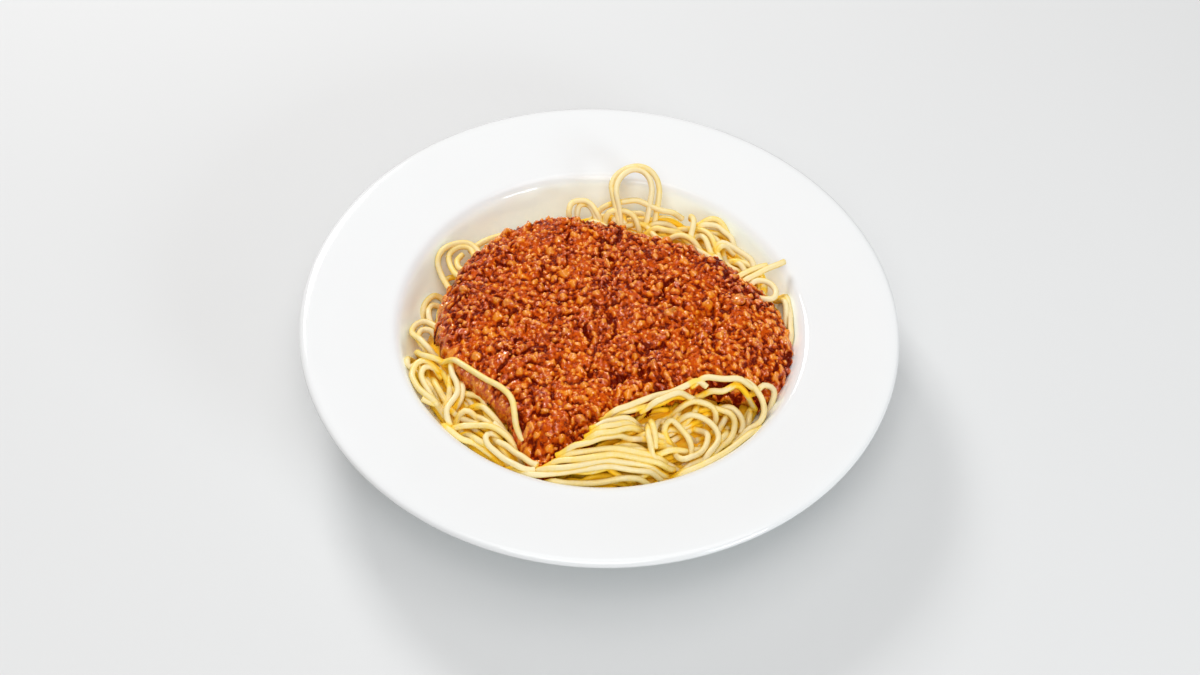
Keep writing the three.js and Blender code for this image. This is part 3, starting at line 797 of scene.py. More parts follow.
@dataclass
class Spaghetti:
    """Cooked spaghetti: a packed core, filling strands, and the strands that show."""

    heap: Heap
    beside: Sequence[Strand]
    over: Sequence[Strand]
    raised: Sequence[Sequence[Point]]
    diameter: float = 2.8
    sides: int = 10
    step: float = 1.7
    sink: float = 0.25
    lag: float = 3.0
    over_plate: float = 0.15
    stiffness: int = 30
    easing: int = 4
    under_sauce: float = 4.5
    fade: float = 6.0
    fade_lead: float = 1.0
    tuck_length: float = 9.0
    tuck_depth: float = 4.6
    cut_size: float = 0.72
    cut_length: float = 0.25
    upright: float = 0.1
    tones: Range = (0.72, 1.0)
    # painted shade: from this depth under the heap's top, over this many diameters, strands are painted
    # towards amber
    painted_shade_from: float = 0.35
    painted_shade_over: float = 2.0
    finish: PastaFinish = PastaFinish("boiled_pasta")
    sunk_core: float = 7.8
    core_lift: float = 2.8
    core_gap: float = 0.6
    core_over_plate: float = 0.4
    core_skirt: float = 0.3
    core_edge: float = 0.5
    core_rings: int = 41
    core_sectors: int = 144
    core_relief: Unevenness = Unevenness(11, 3.0, height=0.5)
    # painted shade: the core shows only between strands, so it gets a fixed painted shade and a deeper amber
    # finish than the strands
    core_tone: float = 0.5
    core_painted_shade: float = 0.3
    core_finish: PastaFinish = PastaFinish(
        "deep_pasta_painted_shade", pale=(0.98, 0.64, 0.06), middle=(0.98, 0.56, 0.02), amber=(0.98, 0.48, 0.01)
    )
    filler_seed: int = 11
    filler_radii: Range = (46.0, 92.0)
    filler_layers: Sequence[FillerLayer] = (FillerLayer(2.75, 1.0, 2.0), FillerLayer(4.6, 4.0, 7.0))
    filler_spans: Range = (25, 60)
    filler_waves: Range = (18, 40)
    filler_swings: Range = (0.3, 1)
    edge_drop: float = 2.5
    bare_arc: Range = (142.0, 186.0)
    shortest: int = 4
    strands: list[np.ndarray] = field(default_factory=list)

    @property
    def radius(self) -> float:
        """Half a strand's thickness."""
        return self.diameter / 2

    def start_ground(self) -> Ground:
        """The bare plate and the sunk core, ready for the first strands."""
        ground = Ground()
        plate_top = self.heap.plate.top(np.hypot(ground.x, ground.y)) + self.over_plate
        ground.height = np.maximum(plate_top, self.core_top(ground.x, ground.y))
        return ground

    def open_share(self, x: np.ndarray, y: np.ndarray) -> np.ndarray:
        """Mask: 1 where strands show, 0 well under the sauce."""
        return 1 - smoothstep((self.heap.inside_sauce(x, y) - self.under_sauce + self.fade_lead) / self.fade)

    def core_top(self, x: np.ndarray, y: np.ndarray) -> np.ndarray:
        """Height of the core that the strands lie on."""
        return self.heap.pasta_top(x, y) - self.sunk_core * self.open_share(x, y)

    def fillers(self) -> list[np.ndarray]:
        """Seeded strands in two layers that wander round the plate under those that show."""
        rng = np.random.default_rng(self.filler_seed)
        routes = []
        for layer in self.filler_layers:
            laid = []
            for radius in np.arange(*self.filler_radii, layer.pitch):
                azimuth = rng.uniform(0, 360)
                end = azimuth + 360
                while azimuth < end:
                    span = rng.uniform(*self.filler_spans)
                    laid.extend(self.filler(rng, layer, radius, azimuth, span))
                    azimuth += span
            rng.shuffle(laid)
            routes.extend(laid)
        return routes

    def filler(
        self, rng: np.random.Generator, layer: FillerLayer, radius: float, azimuth: float, span: float
    ) -> list[np.ndarray]:
        """One filling strand, cut where the pasta doesn't reach so far out.

        Args:
            rng: seeded random numbers.
            layer: what it is part of.
            radius: its distance from the plate's axis.
            azimuth: where it starts.
            span: how far round it runs.

        Returns:
            Its flat routes.
        """
        angles = np.arange(azimuth, azimuth + span, math.degrees(self.step / radius))
        wave = np.sin(2 * np.pi * (angles - azimuth) / rng.uniform(*self.filler_waves) + rng.uniform(*PHASES))
        slant = rng.uniform(-1, 1) * (angles - azimuth) / span
        reach = radius + rng.uniform(*self.filler_swings) * layer.swing * wave + layer.drift * slant
        turn = np.radians(angles)
        limit = self.heap.plate.wall_radius(round_the_clock(self.heap.edge, angles) - self.edge_drop)
        first, last = self.bare_arc
        shown = (reach < limit) & ((angles - first) % 360 > last - first)
        return self.runs(np.column_stack([reach * np.cos(turn), reach * np.sin(turn)]), shown)

    def runs(self, route: np.ndarray, kept: np.ndarray) -> list[np.ndarray]:
        """Unbroken parts of a route that are kept and long enough to show."""
        changes = np.diff(np.concatenate([[0], kept.astype(int), [0]]))
        spans = zip(np.flatnonzero(changes == 1), np.flatnonzero(changes == -1))
        return [route[start:end] for start, end in spans if end - start > self.shortest]

    def trimmed(self, route: np.ndarray) -> list[np.ndarray]:
        """Parts of a route that the sauce doesn't bury deeply."""
        return self.runs(route, self.heap.inside_sauce(route[:, 0], route[:, 1]) < self.under_sauce)

    def lay(self, ground: Ground, route: np.ndarray, loose: Loose = Loose.NEITHER) -> None:
        """Lays a flat route on the ground, keeps it as a strand and stamps it there.

        Args:
            ground: what the strand lies on.
            route: its flat points.
            loose: which end lies open.
        """
        lag = int(math.ceil(self.lag * self.diameter / self.step))
        floor = np.empty(len(route))
        for i, (x, y) in enumerate(route):
            floor[i] = ground.rest(x, y, self.radius) - self.sink
            if i >= lag:
                ground.stamp(*route[i - lag], floor[i - lag], self.radius)
        height = floor.copy()
        for _ in range(self.stiffness):
            height[1:-1] = np.maximum(floor[1:-1], (height[:-2] + height[2:]) / 2)
        for _ in range(self.easing):
            height[1:-1] = (height[:-2] + 2 * height[1:-1] + height[2:]) / 4
        along = np.arange(len(route)) * self.step
        for end, away in ((Loose.START, along), (Loose.END, along[::-1])):
            if loose is not end:
                height -= self.tuck_depth * (1 - smoothstep(away / self.tuck_length))
        self.keep(ground, np.column_stack([route, height]))

    def keep(self, ground: Ground, line: np.ndarray) -> None:
        """Keeps a strand by its points in space, and stamps it on the ground."""
        self.strands.append(line)
        for x, y, z in line:
            ground.stamp(x, y, z, self.radius)

    def lay_beside(self, ground: Ground) -> None:
        """Lays the fillers and the strands that show beside the sauce."""
        for route in self.fillers():
            for part in self.trimmed(route):
                self.lay(ground, part)
        for strand in self.beside:
            for part in self.trimmed(smooth_line(strand.places, self.step)):
                self.lay(ground, part, strand.loose)

    def lay_over(self, ground: Ground) -> None:
        """Lays the strands that cross the sauce, and adds the raised ones in their own form."""
        for strand in self.over:
            self.lay(ground, smooth_line(strand.places, self.step), strand.loose)
        for points in self.raised:
            self.keep(ground, smooth_line(points, self.step))

    def tube(self, line: np.ndarray) -> tuple[np.ndarray, list[list[int]]]:
        """Sweeps a round section along a line.

        Args:
            line: points in space.

        Returns:
            Corners and four-sided faces, with a rounded cut at both ends.
        """
        along = np.gradient(line, axis=0)
        along /= lengths(along)[:, None]
        across = np.cross(along[0], (0, 0, 1.0))
        if np.linalg.norm(across) < self.upright:
            across = np.cross(along[0], (1.0, 0, 0))
        frames = []
        for direction in along:
            across = across - direction * across.dot(direction)
            across /= np.linalg.norm(across)
            frames.append((across, np.cross(across, direction)))
        cut = self.cut_length * self.radius
        middles = np.vstack([line[0] - along[0] * cut, line, line[-1] + along[-1] * cut])
        sizes = np.concatenate([[self.cut_size], np.ones(len(line)), [self.cut_size]]) * self.radius
        around = self.sides
        turn = 2 * np.pi * np.arange(around) / around
        rings = [
            middle + size * (np.outer(np.cos(turn), u) + np.outer(np.sin(turn), v))
            for middle, size, (u, v) in zip(middles, sizes, [frames[0], *frames, frames[-1]])
        ]
        here = np.arange(around)
        there = (here + 1) % around
        starts = np.arange(len(rings) - 1)[:, None] * around
        quads = np.stack([starts + here, starts + there, starts + there + around, starts + here + around], -1)
        last, first_tip = (len(rings) - 1) * around, len(rings) * around
        caps = [[first_tip, b, a] for a, b in zip(here, there)]
        caps += [[first_tip + 1, last + a, last + b] for a, b in zip(here, there)]
        return np.vstack([*rings, middles[:1], middles[-1:]]), [*quads.reshape(-1, 4).tolist(), *caps]

    def build(self, ground: Ground) -> None:
        """Makes the strands and the core into pieces.

        Args:
            ground: the finished height map, for how deep each strand lies, which sets its painted shade.
        """
        rng = np.random.default_rng(self.filler_seed + 1)
        corners, faces, tones, count = [], [], [], 0
        for line in self.strands:
            points, sides = self.tube(line)
            corners.append(points)
            faces.extend([[corner + count for corner in face] for face in sides])
            tones.append(np.full(len(points), rng.uniform(*self.tones)))
            count += len(points)
        points = np.vstack(corners)
        strands = mesh_object("spaghetti_strands", points, faces)
        # painted shade: the deeper a corner lies under the heap's top, the more amber it is painted
        depth = ground.at(points[:, 0], points[:, 1]) - points[:, 2]
        painted_shade = (depth - self.painted_shade_from) / (self.painted_shade_over * self.diameter)
        add_attribute(strands, "tone", np.concatenate(tones))
        add_attribute(strands, "painted_shade", np.clip(painted_shade, 0, 1))
        core = self.build_core()
        hand_over(strands, self.finish.material(), "spaghetti")
        hand_over(core, self.core_finish.material(), "spaghetti")

    def build_core(self) -> Piece:
        """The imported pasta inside: a closed mound with a strand-sized relief."""
        plate, sectors = self.heap.plate, self.core_sectors
        turn = 2 * np.pi * np.arange(sectors) / sectors
        edge = round_the_clock(self.heap.edge, np.degrees(turn))
        reach = plate.wall_radius(edge - self.sunk_core + self.core_lift) - self.core_gap
        radius = np.linspace(0, 1, self.core_rings + 1)[1:, None] * reach
        x, y = radius * np.cos(turn), radius * np.sin(turn)
        lift = (self.core_lift + self.core_gap) * self.open_share(x, y) - self.core_gap
        z = self.core_top(x, y) + lift + self.core_relief.at(x, y)
        z = np.maximum(z, plate.top(radius) + self.core_over_plate)
        bottom = np.minimum(plate.top(radius[-1]) + self.core_skirt, z[-1] - self.core_edge)
        points = np.vstack([
            [[0, 0, float(self.core_top(np.zeros(1), np.zeros(1))[0])]],
            np.column_stack([x.ravel(), y.ravel(), z.ravel()]),
            np.column_stack([x[-1], y[-1], bottom]),
            [[0, 0, plate.floor_height + self.core_skirt]],
        ])
        here = 1 + np.arange(sectors)
        pairs = list(zip(here, 1 + here % sectors))
        skirt, last = self.core_rings * sectors, len(points) - 1
        faces = [[0, a, b] for a, b in pairs]
        for start in range(0, skirt, sectors):
            faces.extend([start + a, start + sectors + a, start + sectors + b, start + b] for a, b in pairs)
        faces.extend([last, skirt + b, skirt + a] for a, b in pairs)
        core = mesh_object("spaghetti_core", points, faces)
        add_attribute(core, "tone", np.full(len(points), self.core_tone))
        add_attribute(core, "painted_shade", np.full(len(points), self.core_painted_shade))
        return core


# ---------------------------------------------------------------- sauce
@dataclass(frozen=True)
class Crease:
    """Valley along a smooth line."""

    places: tuple[Place, ...]
    width: float
    depth: float

    def drop(self, x: np.ndarray, y: np.ndarray) -> np.ndarray:
        """How far the surface drops: its depth on the line, falling to 0 past its width."""
        closest = np.full(x.shape, np.inf)
        for px, py in smooth_line(self.places, 1.0):
            closest = np.minimum(closest, (x - px) ** 2 + (y - py) ** 2)
        return self.depth * np.exp(-closest / (self.width / 2) ** 2)


@dataclass(frozen=True)
class Cleft:
    """Winding gaps between clumps, where one noise is near zero and another lets them show."""

    winding: Unevenness
    broken: Unevenness
    width: float
    depth: float
    sharpness: float = 1.5

    def drop(self, x: np.ndarray, y: np.ndarray) -> np.ndarray:
        """How far the surface drops: its depth in the gaps, falling to 0 beside them."""
        line = np.exp(-((self.winding.at(x, y) / self.width) ** 2))
        return self.depth * (line * smoothstep(0.5 + self.sharpness * self.broken.at(x, y)))


@dataclass(frozen=True)
class Grains:
    """One kind of mince: how many grains, how large, and how they are set in the sauce.

    Raised is the height of a grain's middle over the sauce, in its radii. Closeness is the least distance
    between two middles, as a share of their radii's sum. Bare is the share that also lies loose on the film.
    """

    name: str
    count: int
    radius: Range
    raised: Range
    closeness: float
    bare: float
    finish: SauceFinish
    squash: Range = (0.6, 0.9)
    lumps: float = 0.5
    on_top: bool = False

    def crowds(self, first: Point, second: Point) -> bool:
        """Whether two grains, each by x, y and radius, are too close."""
        gap = self.closeness * (first[2] + second[2])
        return (first[0] - second[0]) ** 2 + (first[1] - second[1]) ** 2 < gap**2


@dataclass
class Sauce:
    """Minced meat and tomato sauce: a wet relief with grains of mince on it."""

    heap: Heap
    creases: Sequence[Crease]
    grains: Sequence[Grains]
    seed: int = 5
    outline: Unevenness = Unevenness(5, 7.0, 2, 2.4)
    bed_soft: int = 4
    bed_drop: float = 0.2
    bed_rise: float = 1.0
    fade: float = 6.0
    poured_past: float = 1.0
    sheet_past: float = 2.0
    clumps: tuple[Unevenness, ...] = (Unevenness(21, 17.0, 2, 2.4), Unevenness(31, 8.0, 2, 1.4))
    clefts: tuple[Cleft, ...] = (
        Cleft(Unevenness(61, 12.0, 2), Unevenness(62, 14.0), 0.12, 1.5),
        Cleft(Unevenness(63, 7.0, 2), Unevenness(64, 9.0), 0.1, 1.3),
    )
    warps: tuple[Unevenness, ...] = (Unevenness(45, 2.6, 2, 0.9), Unevenness(55, 2.6, 2, 0.9))
    grit: Unevenness = Unevenness(14, 1.7, 2, 0.35)
    fine_grit: Unevenness = Unevenness(14, 1.6, 2, 0.16)
    patches: Unevenness = Unevenness(75, 12.0, 2, 0.35)
    bare_hue: float = 0.3
    skirt: float = 2.0
    field_reach: float = 88.0
    tries_each: int = 14
    small_bias: float = 1.6
    overhang: float = 0.15
    square: float = 6.0
    drawn_up: float = 2.0
    stretch: Range = (0.82, 1.2)
    steepness: float = 1.2
    joining: float = 0.22
    hue_spread: float = 1.3
    crest_rise: float = 1.2
    crest_soft: tuple[int, int] = (3, 9)
    crest_share: float = 0.6
    crest_height: float = 1.7
    brow_width: float = 3.5
    film_finish: SauceFinish = SauceFinish(
        "tomato_film", dark=(0.13, 0.003, 0.0001), middle=(0.56, 0.068, 0.001), light=(0.87, 0.27, 0.008)
    )
    ball_shapes: int = 14
    ball_waves: int = 4
    ball_pitch: float = 2.3
    tone_spread: float = 1.6
    inside: np.ndarray = field(init=False)
    surface: np.ndarray = field(init=False)
    film: np.ndarray = field(init=False)
    hue: np.ndarray = field(init=False)
    warp: tuple[np.ndarray, ...] = field(init=False)
    placed: list[tuple[Grains, np.ndarray]] = field(default_factory=list)

    def spread_over(self, ground: Ground) -> None:
        """Pours the sauce over the strands, places the grains and stamps them on the ground.

        Args:
            ground: what the sauce lies on. Its heights inside the outline become the sauce's.
        """
        x, y = ground.x, ground.y
        self.inside = self.heap.inside_sauce(x, y) + self.outline.at(x, y)
        smooth_bed = self.heap.pasta_top(x, y)
        bed = softened(ground.height, self.bed_soft) - self.bed_drop
        bed = np.clip(bed, smooth_bed, smooth_bed + self.bed_rise)
        top = bed + self.heap.sauce_thickness(x, y, self.inside)
        fade = smoothstep(self.inside / self.fade)
        for clump in self.clumps:
            top = top + clump.at(x, y) * fade
        for crease in self.creases:
            top = top - crease.drop(x, y) * fade
        self.surface, self.film = top, top.copy()
        self.hue = np.full(x.shape, self.bare_hue)
        self.warp = tuple(warp.at(x, y) for warp in self.warps)
        rng = np.random.default_rng(self.seed)
        taken: dict[Place, list[Point]] = {}
        for kind in self.grains:
            self.placed.append((kind, self.scatter(ground, kind, rng, taken)))
        self.film += self.grit.at(x, y)
        for cleft in self.clefts:
            self.film -= cleft.drop(x, y) * fade
        poured = np.maximum(ground.height, self.film)
        ground.height = np.where(self.inside > -self.poured_past, poured, ground.height)
        for _, rows in self.placed:
            for row in rows:
                ground.stamp(*row)

    def scatter(self, ground: Ground, kind: Grains, rng: np.random.Generator, taken: dict) -> np.ndarray:
        """Places grains of one kind where there is room.

        Args:
            ground: its grid is the one that the sauce's arrays are on.
            kind: the grains.
            rng: seeded random numbers.
            taken: grains already placed, by square of the grid.

        Returns:
            Rows of x, y, z and radius of the grains that show bare.
        """
        bed = self.film if kind.on_top else self.surface
        smallest, largest = kind.radius
        rows, tries = [], 0
        while len(rows) < kind.count and tries < kind.count * self.tries_each:
            tries += 1
            px, py = rng.uniform(-self.field_reach, self.field_reach, 2)
            radius = smallest + (largest - smallest) * rng.random() ** self.small_bias
            column, row = int((px + ground.reach) / ground.cell), int((py + ground.reach) / ground.cell)
            if self.inside[row, column] < -self.overhang * radius:
                continue
            grain = (px, py, radius)
            i, j = int(px // self.square), int(py // self.square)
            squares = [taken.get((i + a, j + b), ()) for a in (-1, 0, 1) for b in (-1, 0, 1)]
            if any(kind.crowds(grain, other) for square in squares for other in square):
                continue
            pz = float(bed[row, column]) + rng.uniform(*kind.raised) * radius
            taken.setdefault((i, j), []).append(grain)
            rows.append((px, py, pz, radius))
            self.wet(ground, (px, py, pz), radius, rng)
        LOG.info("%s: %d grains after %d tries", kind.name, len(rows), tries)
        return np.asarray([row for row in rows if rng.random() < kind.bare])

    def wet(self, ground: Ground, middle: Point, radius: float, rng: np.random.Generator) -> None:
        """Draws the film up over a grain, in one skin with its neighbours.

        Args:
            ground: its grid is the one that the film is on.
            middle: middle of the grain.
            radius: its size.
            rng: seeded random numbers, for its outline and tone.
        """
        px, py, pz = middle
        cells = ground.window(px, py, self.drawn_up * radius)
        turn, stretch = rng.uniform(0, np.pi), rng.uniform(*self.stretch)
        u = ground.x[cells] - px + self.warp[0][cells]
        v = ground.y[cells] - py + self.warp[1][cells]
        along = (u * np.cos(turn) + v * np.sin(turn)) * stretch
        across = (v * np.cos(turn) - u * np.sin(turn)) / stretch
        mound = pz + radius * (1.0 - self.steepness * ((along**2 + across**2) / radius**2))
        blend = self.joining * radius
        share = np.clip(0.5 + 0.5 * (mound - self.film[cells]) / blend, 0, 1)
        self.film[cells] += share * (mound - self.film[cells]) + blend * share * (1 - share)
        self.hue[cells] += share * (rng.beta(self.hue_spread, self.hue_spread) - self.hue[cells])

    def build_film(self, ground: Ground) -> None:
        """The wet relief: a closed sheet from the sauce's outline inwards.

        Args:
            ground: its grid carries the corners.
        """
        x, y = ground.x, ground.y
        keep = self.inside > -self.sheet_past
        whole = keep[:-1, :-1] & keep[1:, :-1] & keep[:-1, 1:] & keep[1:, 1:]
        number = np.arange(keep.size).reshape(keep.shape)
        quads = np.stack([number[:-1, :-1], number[:-1, 1:], number[1:, 1:], number[1:, :-1]], -1)[whole]
        used, compact = np.unique(quads, return_inverse=True)
        height = self.film + self.fine_grit.at(x, y)
        points = np.column_stack([values.ravel()[used] for values in (x, y, height)])
        obj = mesh_object("sauce_film", points, compact.reshape(-1, 4))
        # the crest attribute carries painted light and shade: lighter over bumps and along the outline's
        # brow, darker in hollows; it also sets the oily glaze
        relief = height - self.surface
        crest = self.crest_rise * relief
        for cells in self.crest_soft:
            crest = crest - self.crest_share * softened(relief, cells)
        brow = self.crest_share * (1 - smoothstep(self.inside.ravel()[used] / self.brow_width))
        hue = np.clip(self.hue + self.patches.at(x, y), 0, 1)
        add_attribute(obj, "tone", hue.ravel()[used])
        add_attribute(obj, "crest", np.clip(0.5 + crest.ravel()[used] / self.crest_height + brow, 0, 1))
        bpy.ops.object.mode_set(mode="EDIT")
        bpy.ops.mesh.select_mode(type="EDGE")
        bpy.ops.mesh.select_all(action="DESELECT")
        bpy.ops.mesh.select_non_manifold(extend=False)
        bpy.ops.mesh.extrude_region_move(TRANSFORM_OT_translate={"value": (0, 0, -self.skirt * MM)})
        bpy.ops.mesh.edge_face_add()
        bpy.ops.object.mode_set(mode="OBJECT")
        hand_over(obj, self.film_finish.material(), "bolognese_sauce")

    def build_grains(self, kind: Grains, rows: np.ndarray) -> None:
        """Joins all grains of one kind, each a lumpy ball with its own turn and size.

        Args:
            kind: the grains.
            rows: x, y, z and radius of each.
        """
        deselect_all()
        bpy.ops.mesh.primitive_ico_sphere_add(subdivisions=2, radius=1)
        pattern = bpy.context.active_object
        ball = np.array([corner.co for corner in pattern.data.vertices])
        sides = np.array([face.vertices for face in pattern.data.polygons])
        bpy.data.objects.remove(pattern)
        rng = np.random.default_rng(self.seed + len(rows))
        shapes = []
        for _ in range(self.ball_shapes):
            bumps = np.zeros(len(ball))
            for _ in range(self.ball_waves):
                bumps += np.sin(ball @ rng.normal(0, self.ball_pitch, 3) + rng.uniform(*PHASES))
            shapes.append(ball * (1 + kind.lumps * bumps / 2)[:, None])
        corners, tones, crests = [], [], []
        for x, y, z, radius in rows:
            axes, _ = np.linalg.qr(rng.normal(size=(3, 3)))
            stretch = np.array([1.0, rng.uniform(*kind.squash), rng.uniform(*kind.squash)])
            shape = (shapes[rng.integers(len(shapes))] * stretch) @ axes.T * np.sign(np.linalg.det(axes))
            corners.append(shape * radius + (x, y, z))
            tones.append(np.full(len(ball), rng.beta(self.tone_spread, self.tone_spread)))
            # painted light and shade: the crest rises from each grain's bottom to its top, so its upper half
            # is painted lighter and its lower half darker
            crests.append(np.clip(0.5 + 0.5 * shape[:, 2], 0, 1))
        faces = (sides[None] + (np.arange(len(rows)) * len(ball))[:, None, None]).reshape(-1, 3)
        obj = mesh_object(kind.name, np.vstack(corners), faces)
        add_attribute(obj, "tone", np.concatenate(tones))
        add_attribute(obj, "crest", np.concatenate(crests))
        hand_over(obj, kind.finish.material(), "bolognese_sauce")

    def build(self, ground: Ground) -> None:
        """Makes the film and the grains into pieces."""
        self.build_film(ground)
        for kind, rows in self.placed:
            self.build_grains(kind, rows)


# ---------------------------------------------------------------- what lies where
BESIDE_SAUCE = (
    # along the front wall and the near side of the well
    Strand(((-24, -84), (-14, -87), (-5, -86), (3, -85), (12, -83.5), (20, -82), (27, -80))),
    Strand((
        (-40, -75), (-33, -81), (-25, -84.5), (-16, -84), (-8, -83), (1, -82), (9, -81), (20, -79),
        (32, -76),
    )),
    Strand((
        (32, -78), (37, -77), (42, -76), (48, -74), (53, -71), (58, -67), (64, -61), (69, -56), (73, -51),
    )),
    Strand(((34, -75), (39, -74), (44, -70), (50, -66), (55, -60), (61, -54), (66, -49), (70, -43))),
    Strand(((-31, -79), (-23, -82), (-14, -83), (-6, -82), (3, -80), (11, -79), (20, -77), (32, -75))),
    Strand(((-23, -81), (-14, -80), (-6, -80), (3, -79), (11, -77), (20, -76), (29, -75), (35, -73))),
    Strand(((-21, -79), (-14, -78), (-6, -77), (3, -76), (11, -75), (20, -74), (29, -72), (35, -70))),
    Strand(((3, -74), (11, -72), (20, -71), (27, -71))),
    Strand(((5, -71), (12, -69), (20, -68), (26, -68))),
    Strand(((8, -68), (14, -66), (21, -65), (28, -64), (37, -62))),
    Strand(((15, -64), (22, -63), (29, -62), (37, -60))),
    # right front: strands that leave the sauce, and the whirl they run into
    Strand(((26, -66), (32, -65), (38, -64))),
    Strand(((-16, -77), (-8, -75), (-2, -74), (5, -71), (11, -68), (17, -65))),
    Strand(((-7, -74), (0, -72), (8, -69), (13, -65), (18, -62), (22, -58))),
    Strand(((-4, -71), (2, -69), (8, -66), (13, -62), (18, -59), (21, -56))),
    Strand(((-2, -68), (3, -65), (8, -62), (13, -59), (18, -57), (21, -54))),
    Strand(((24, -72), (30, -70), (35, -67), (40, -66)), Loose.END),
    Strand((
        (43, -52), (46, -53), (49, -56), (49, -60), (47, -65), (43, -69), (39, -71), (36, -69), (35, -67),
    )),
    Strand((
        (33, -52), (37, -51), (42, -50), (47, -50), (50, -51), (53, -54), (54, -58), (52, -63), (49, -67),
        (45, -71),
    )),
    Strand((
        (35, -63), (32, -62), (30, -60), (31, -56), (33, -54), (36, -56), (38, -58), (40, -60), (42, -63),
        (42, -67),
    )),
    Strand(((56, -50), (58, -51), (57, -55), (53, -59))),
    Strand(((44, -44), (49, -43), (54, -43), (59, -44), (61, -47), (61, -51), (60, -55), (56, -59))),
    Strand(((52, -41), (57, -40), (61, -41), (64, -44), (65, -48), (64, -52)), Loose.END),
    Strand(((23, -56), (23, -62), (23, -66), (24, -70), (25, -73), (28, -74)), Loose.START),
    Strand(((24, -57), (25, -62), (26, -66), (26, -70)), Loose.START),
    # left front: tangle between the sauce and the lip
    Strand(((-68, -53), (-64, -61), (-58, -66), (-52, -67), (-46, -71), (-39, -75))),
    Strand(((-62, -58), (-56, -62), (-50, -67), (-43, -71), (-35, -76))),
    Strand((
        (-38, -68), (-41, -65), (-45, -64), (-47, -66), (-46, -70), (-42, -74), (-36, -79), (-31, -82),
        (-25, -82),
    )),
    Strand(((-42, -68), (-38, -70), (-33, -74), (-29, -77), (-24, -80)), Loose.START),
    Strand(((-59, -45), (-53, -48), (-47, -52), (-42, -56))),
    Strand(((-55, -47), (-49, -52), (-43, -57), (-38, -62), (-33, -67))),
    Strand(((-56, -50), (-51, -54), (-46, -59), (-40, -64)), Loose.START),
    Strand(((-44, -60), (-39, -63), (-35, -66), (-31, -70), (-28, -74)), Loose.START),
    Strand(((-61, -58), (-61, -55), (-58, -52), (-55, -52), (-50, -55))),
    Strand(((-65, -60), (-59, -61), (-52, -61), (-46, -62), (-41, -64), (-36, -67), (-31, -71))),
    Strand(((-76, -48), (-72, -49), (-68, -49), (-64, -52)), Loose.START),
    Strand(((-76, -27), (-73, -32), (-71, -37), (-68, -42), (-64, -46))),
    Strand(((-67, -33), (-65, -38), (-65, -42), (-67, -46))),
    Strand(((-69, -32), (-73, -28), (-77, -29), (-78, -33), (-76, -38), (-73, -43), (-69, -47))),
    Strand((
        (-70, -30), (-76, -26), (-80, -27), (-82, -33), (-80, -39), (-77, -44), (-74, -47), (-70, -49),
        (-65, -52),
    )),
    Strand(((-63, -32), (-60, -37), (-59, -42), (-60, -45), (-63, -48))),
    Strand(((-81, -19), (-84, -19), (-85, -24), (-84, -28), (-81, -26))),
    Strand(((-82, -12), (-81, -19), (-78, -24), (-74, -26), (-69, -26), (-65, -26))),
    Strand(((-72, -6), (-77, 0), (-81, 0), (-82, -7), (-79, -14), (-74, -20))),
    Strand((
        (-68, -6), (-74, 1), (-80, 5), (-84, 2), (-85, -4), (-84, -7), (-81, -11), (-76, -17), (-70, -22),
    )),
    Strand(((-72, 20), (-76, 21), (-79, 17), (-79, 11), (-77, 5))),
    Strand(((-71, 25), (-76, 26), (-80, 21), (-82, 14), (-82, 8))),
    Strand(((-67, 17), (-69, 12), (-69, 4), (-68, -3))),
    Strand(((-70, 21), (-72, 19), (-74, 12), (-73, 1))),
    Strand(((-71, 27), (-67, 27), (-63, 23), (-60, 18))),
    Strand(((-67, 16), (-71, 27), (-73, 33), (-69, 35), (-65, 29), (-61, 21))),
    Strand((
        (-64, -25), (-65, -28), (-64, -34), (-62, -38), (-61, -43), (-62, -46), (-64, -50), (-65, -54),
        (-63, -60),
    ), Loose.START),
    # back left, low against the open wall
    Strand(((-66, 44), (-57, 52), (-47, 56), (-38, 56))),
    Strand(((-62, 41), (-56, 46), (-48, 52))),
    # right: against the wall and towards the back
    Strand(((81, 29), (85, 25), (86, 20), (87, 13), (87, 7), (87, 0), (85, -7))),
    Strand(((81, 26), (84, 21), (85, 15), (85, 8))),
    Strand(((42, 61), (45, 65), (49, 66), (54, 66), (57, 63), (60, 60), (62, 55), (63, 51))),
    Strand(((44, 67), (48, 69), (53, 69), (57, 66), (60, 62))),
    Strand(((49, 49), (53, 52), (56, 54), (61, 52), (65, 49), (69, 45), (71, 40), (71, 36))),
    Strand(((51, 46), (54, 50), (58, 52), (62, 50))),
    Strand(((49, 47), (53, 41), (57, 36), (60, 33))),
    Strand(((60, 48), (65, 41), (68, 34), (68, 27))),
    # back
    Strand(((3, 81), (7, 81), (12, 80), (19, 77), (24, 73))),
    Strand(((20, 70), (29, 69), (36, 68), (41, 67))),
    Strand(((17, 63), (24, 64), (32, 65), (38, 64))),
    Strand(((17, 59), (24, 60), (30, 59), (37, 59), (43, 57))),
    Strand(((40, 53), (44, 56), (47, 54), (49, 49), (51, 44))),
    Strand(((26, 51), (30, 53), (36, 53), (40, 51), (44, 49), (47, 46))),
)

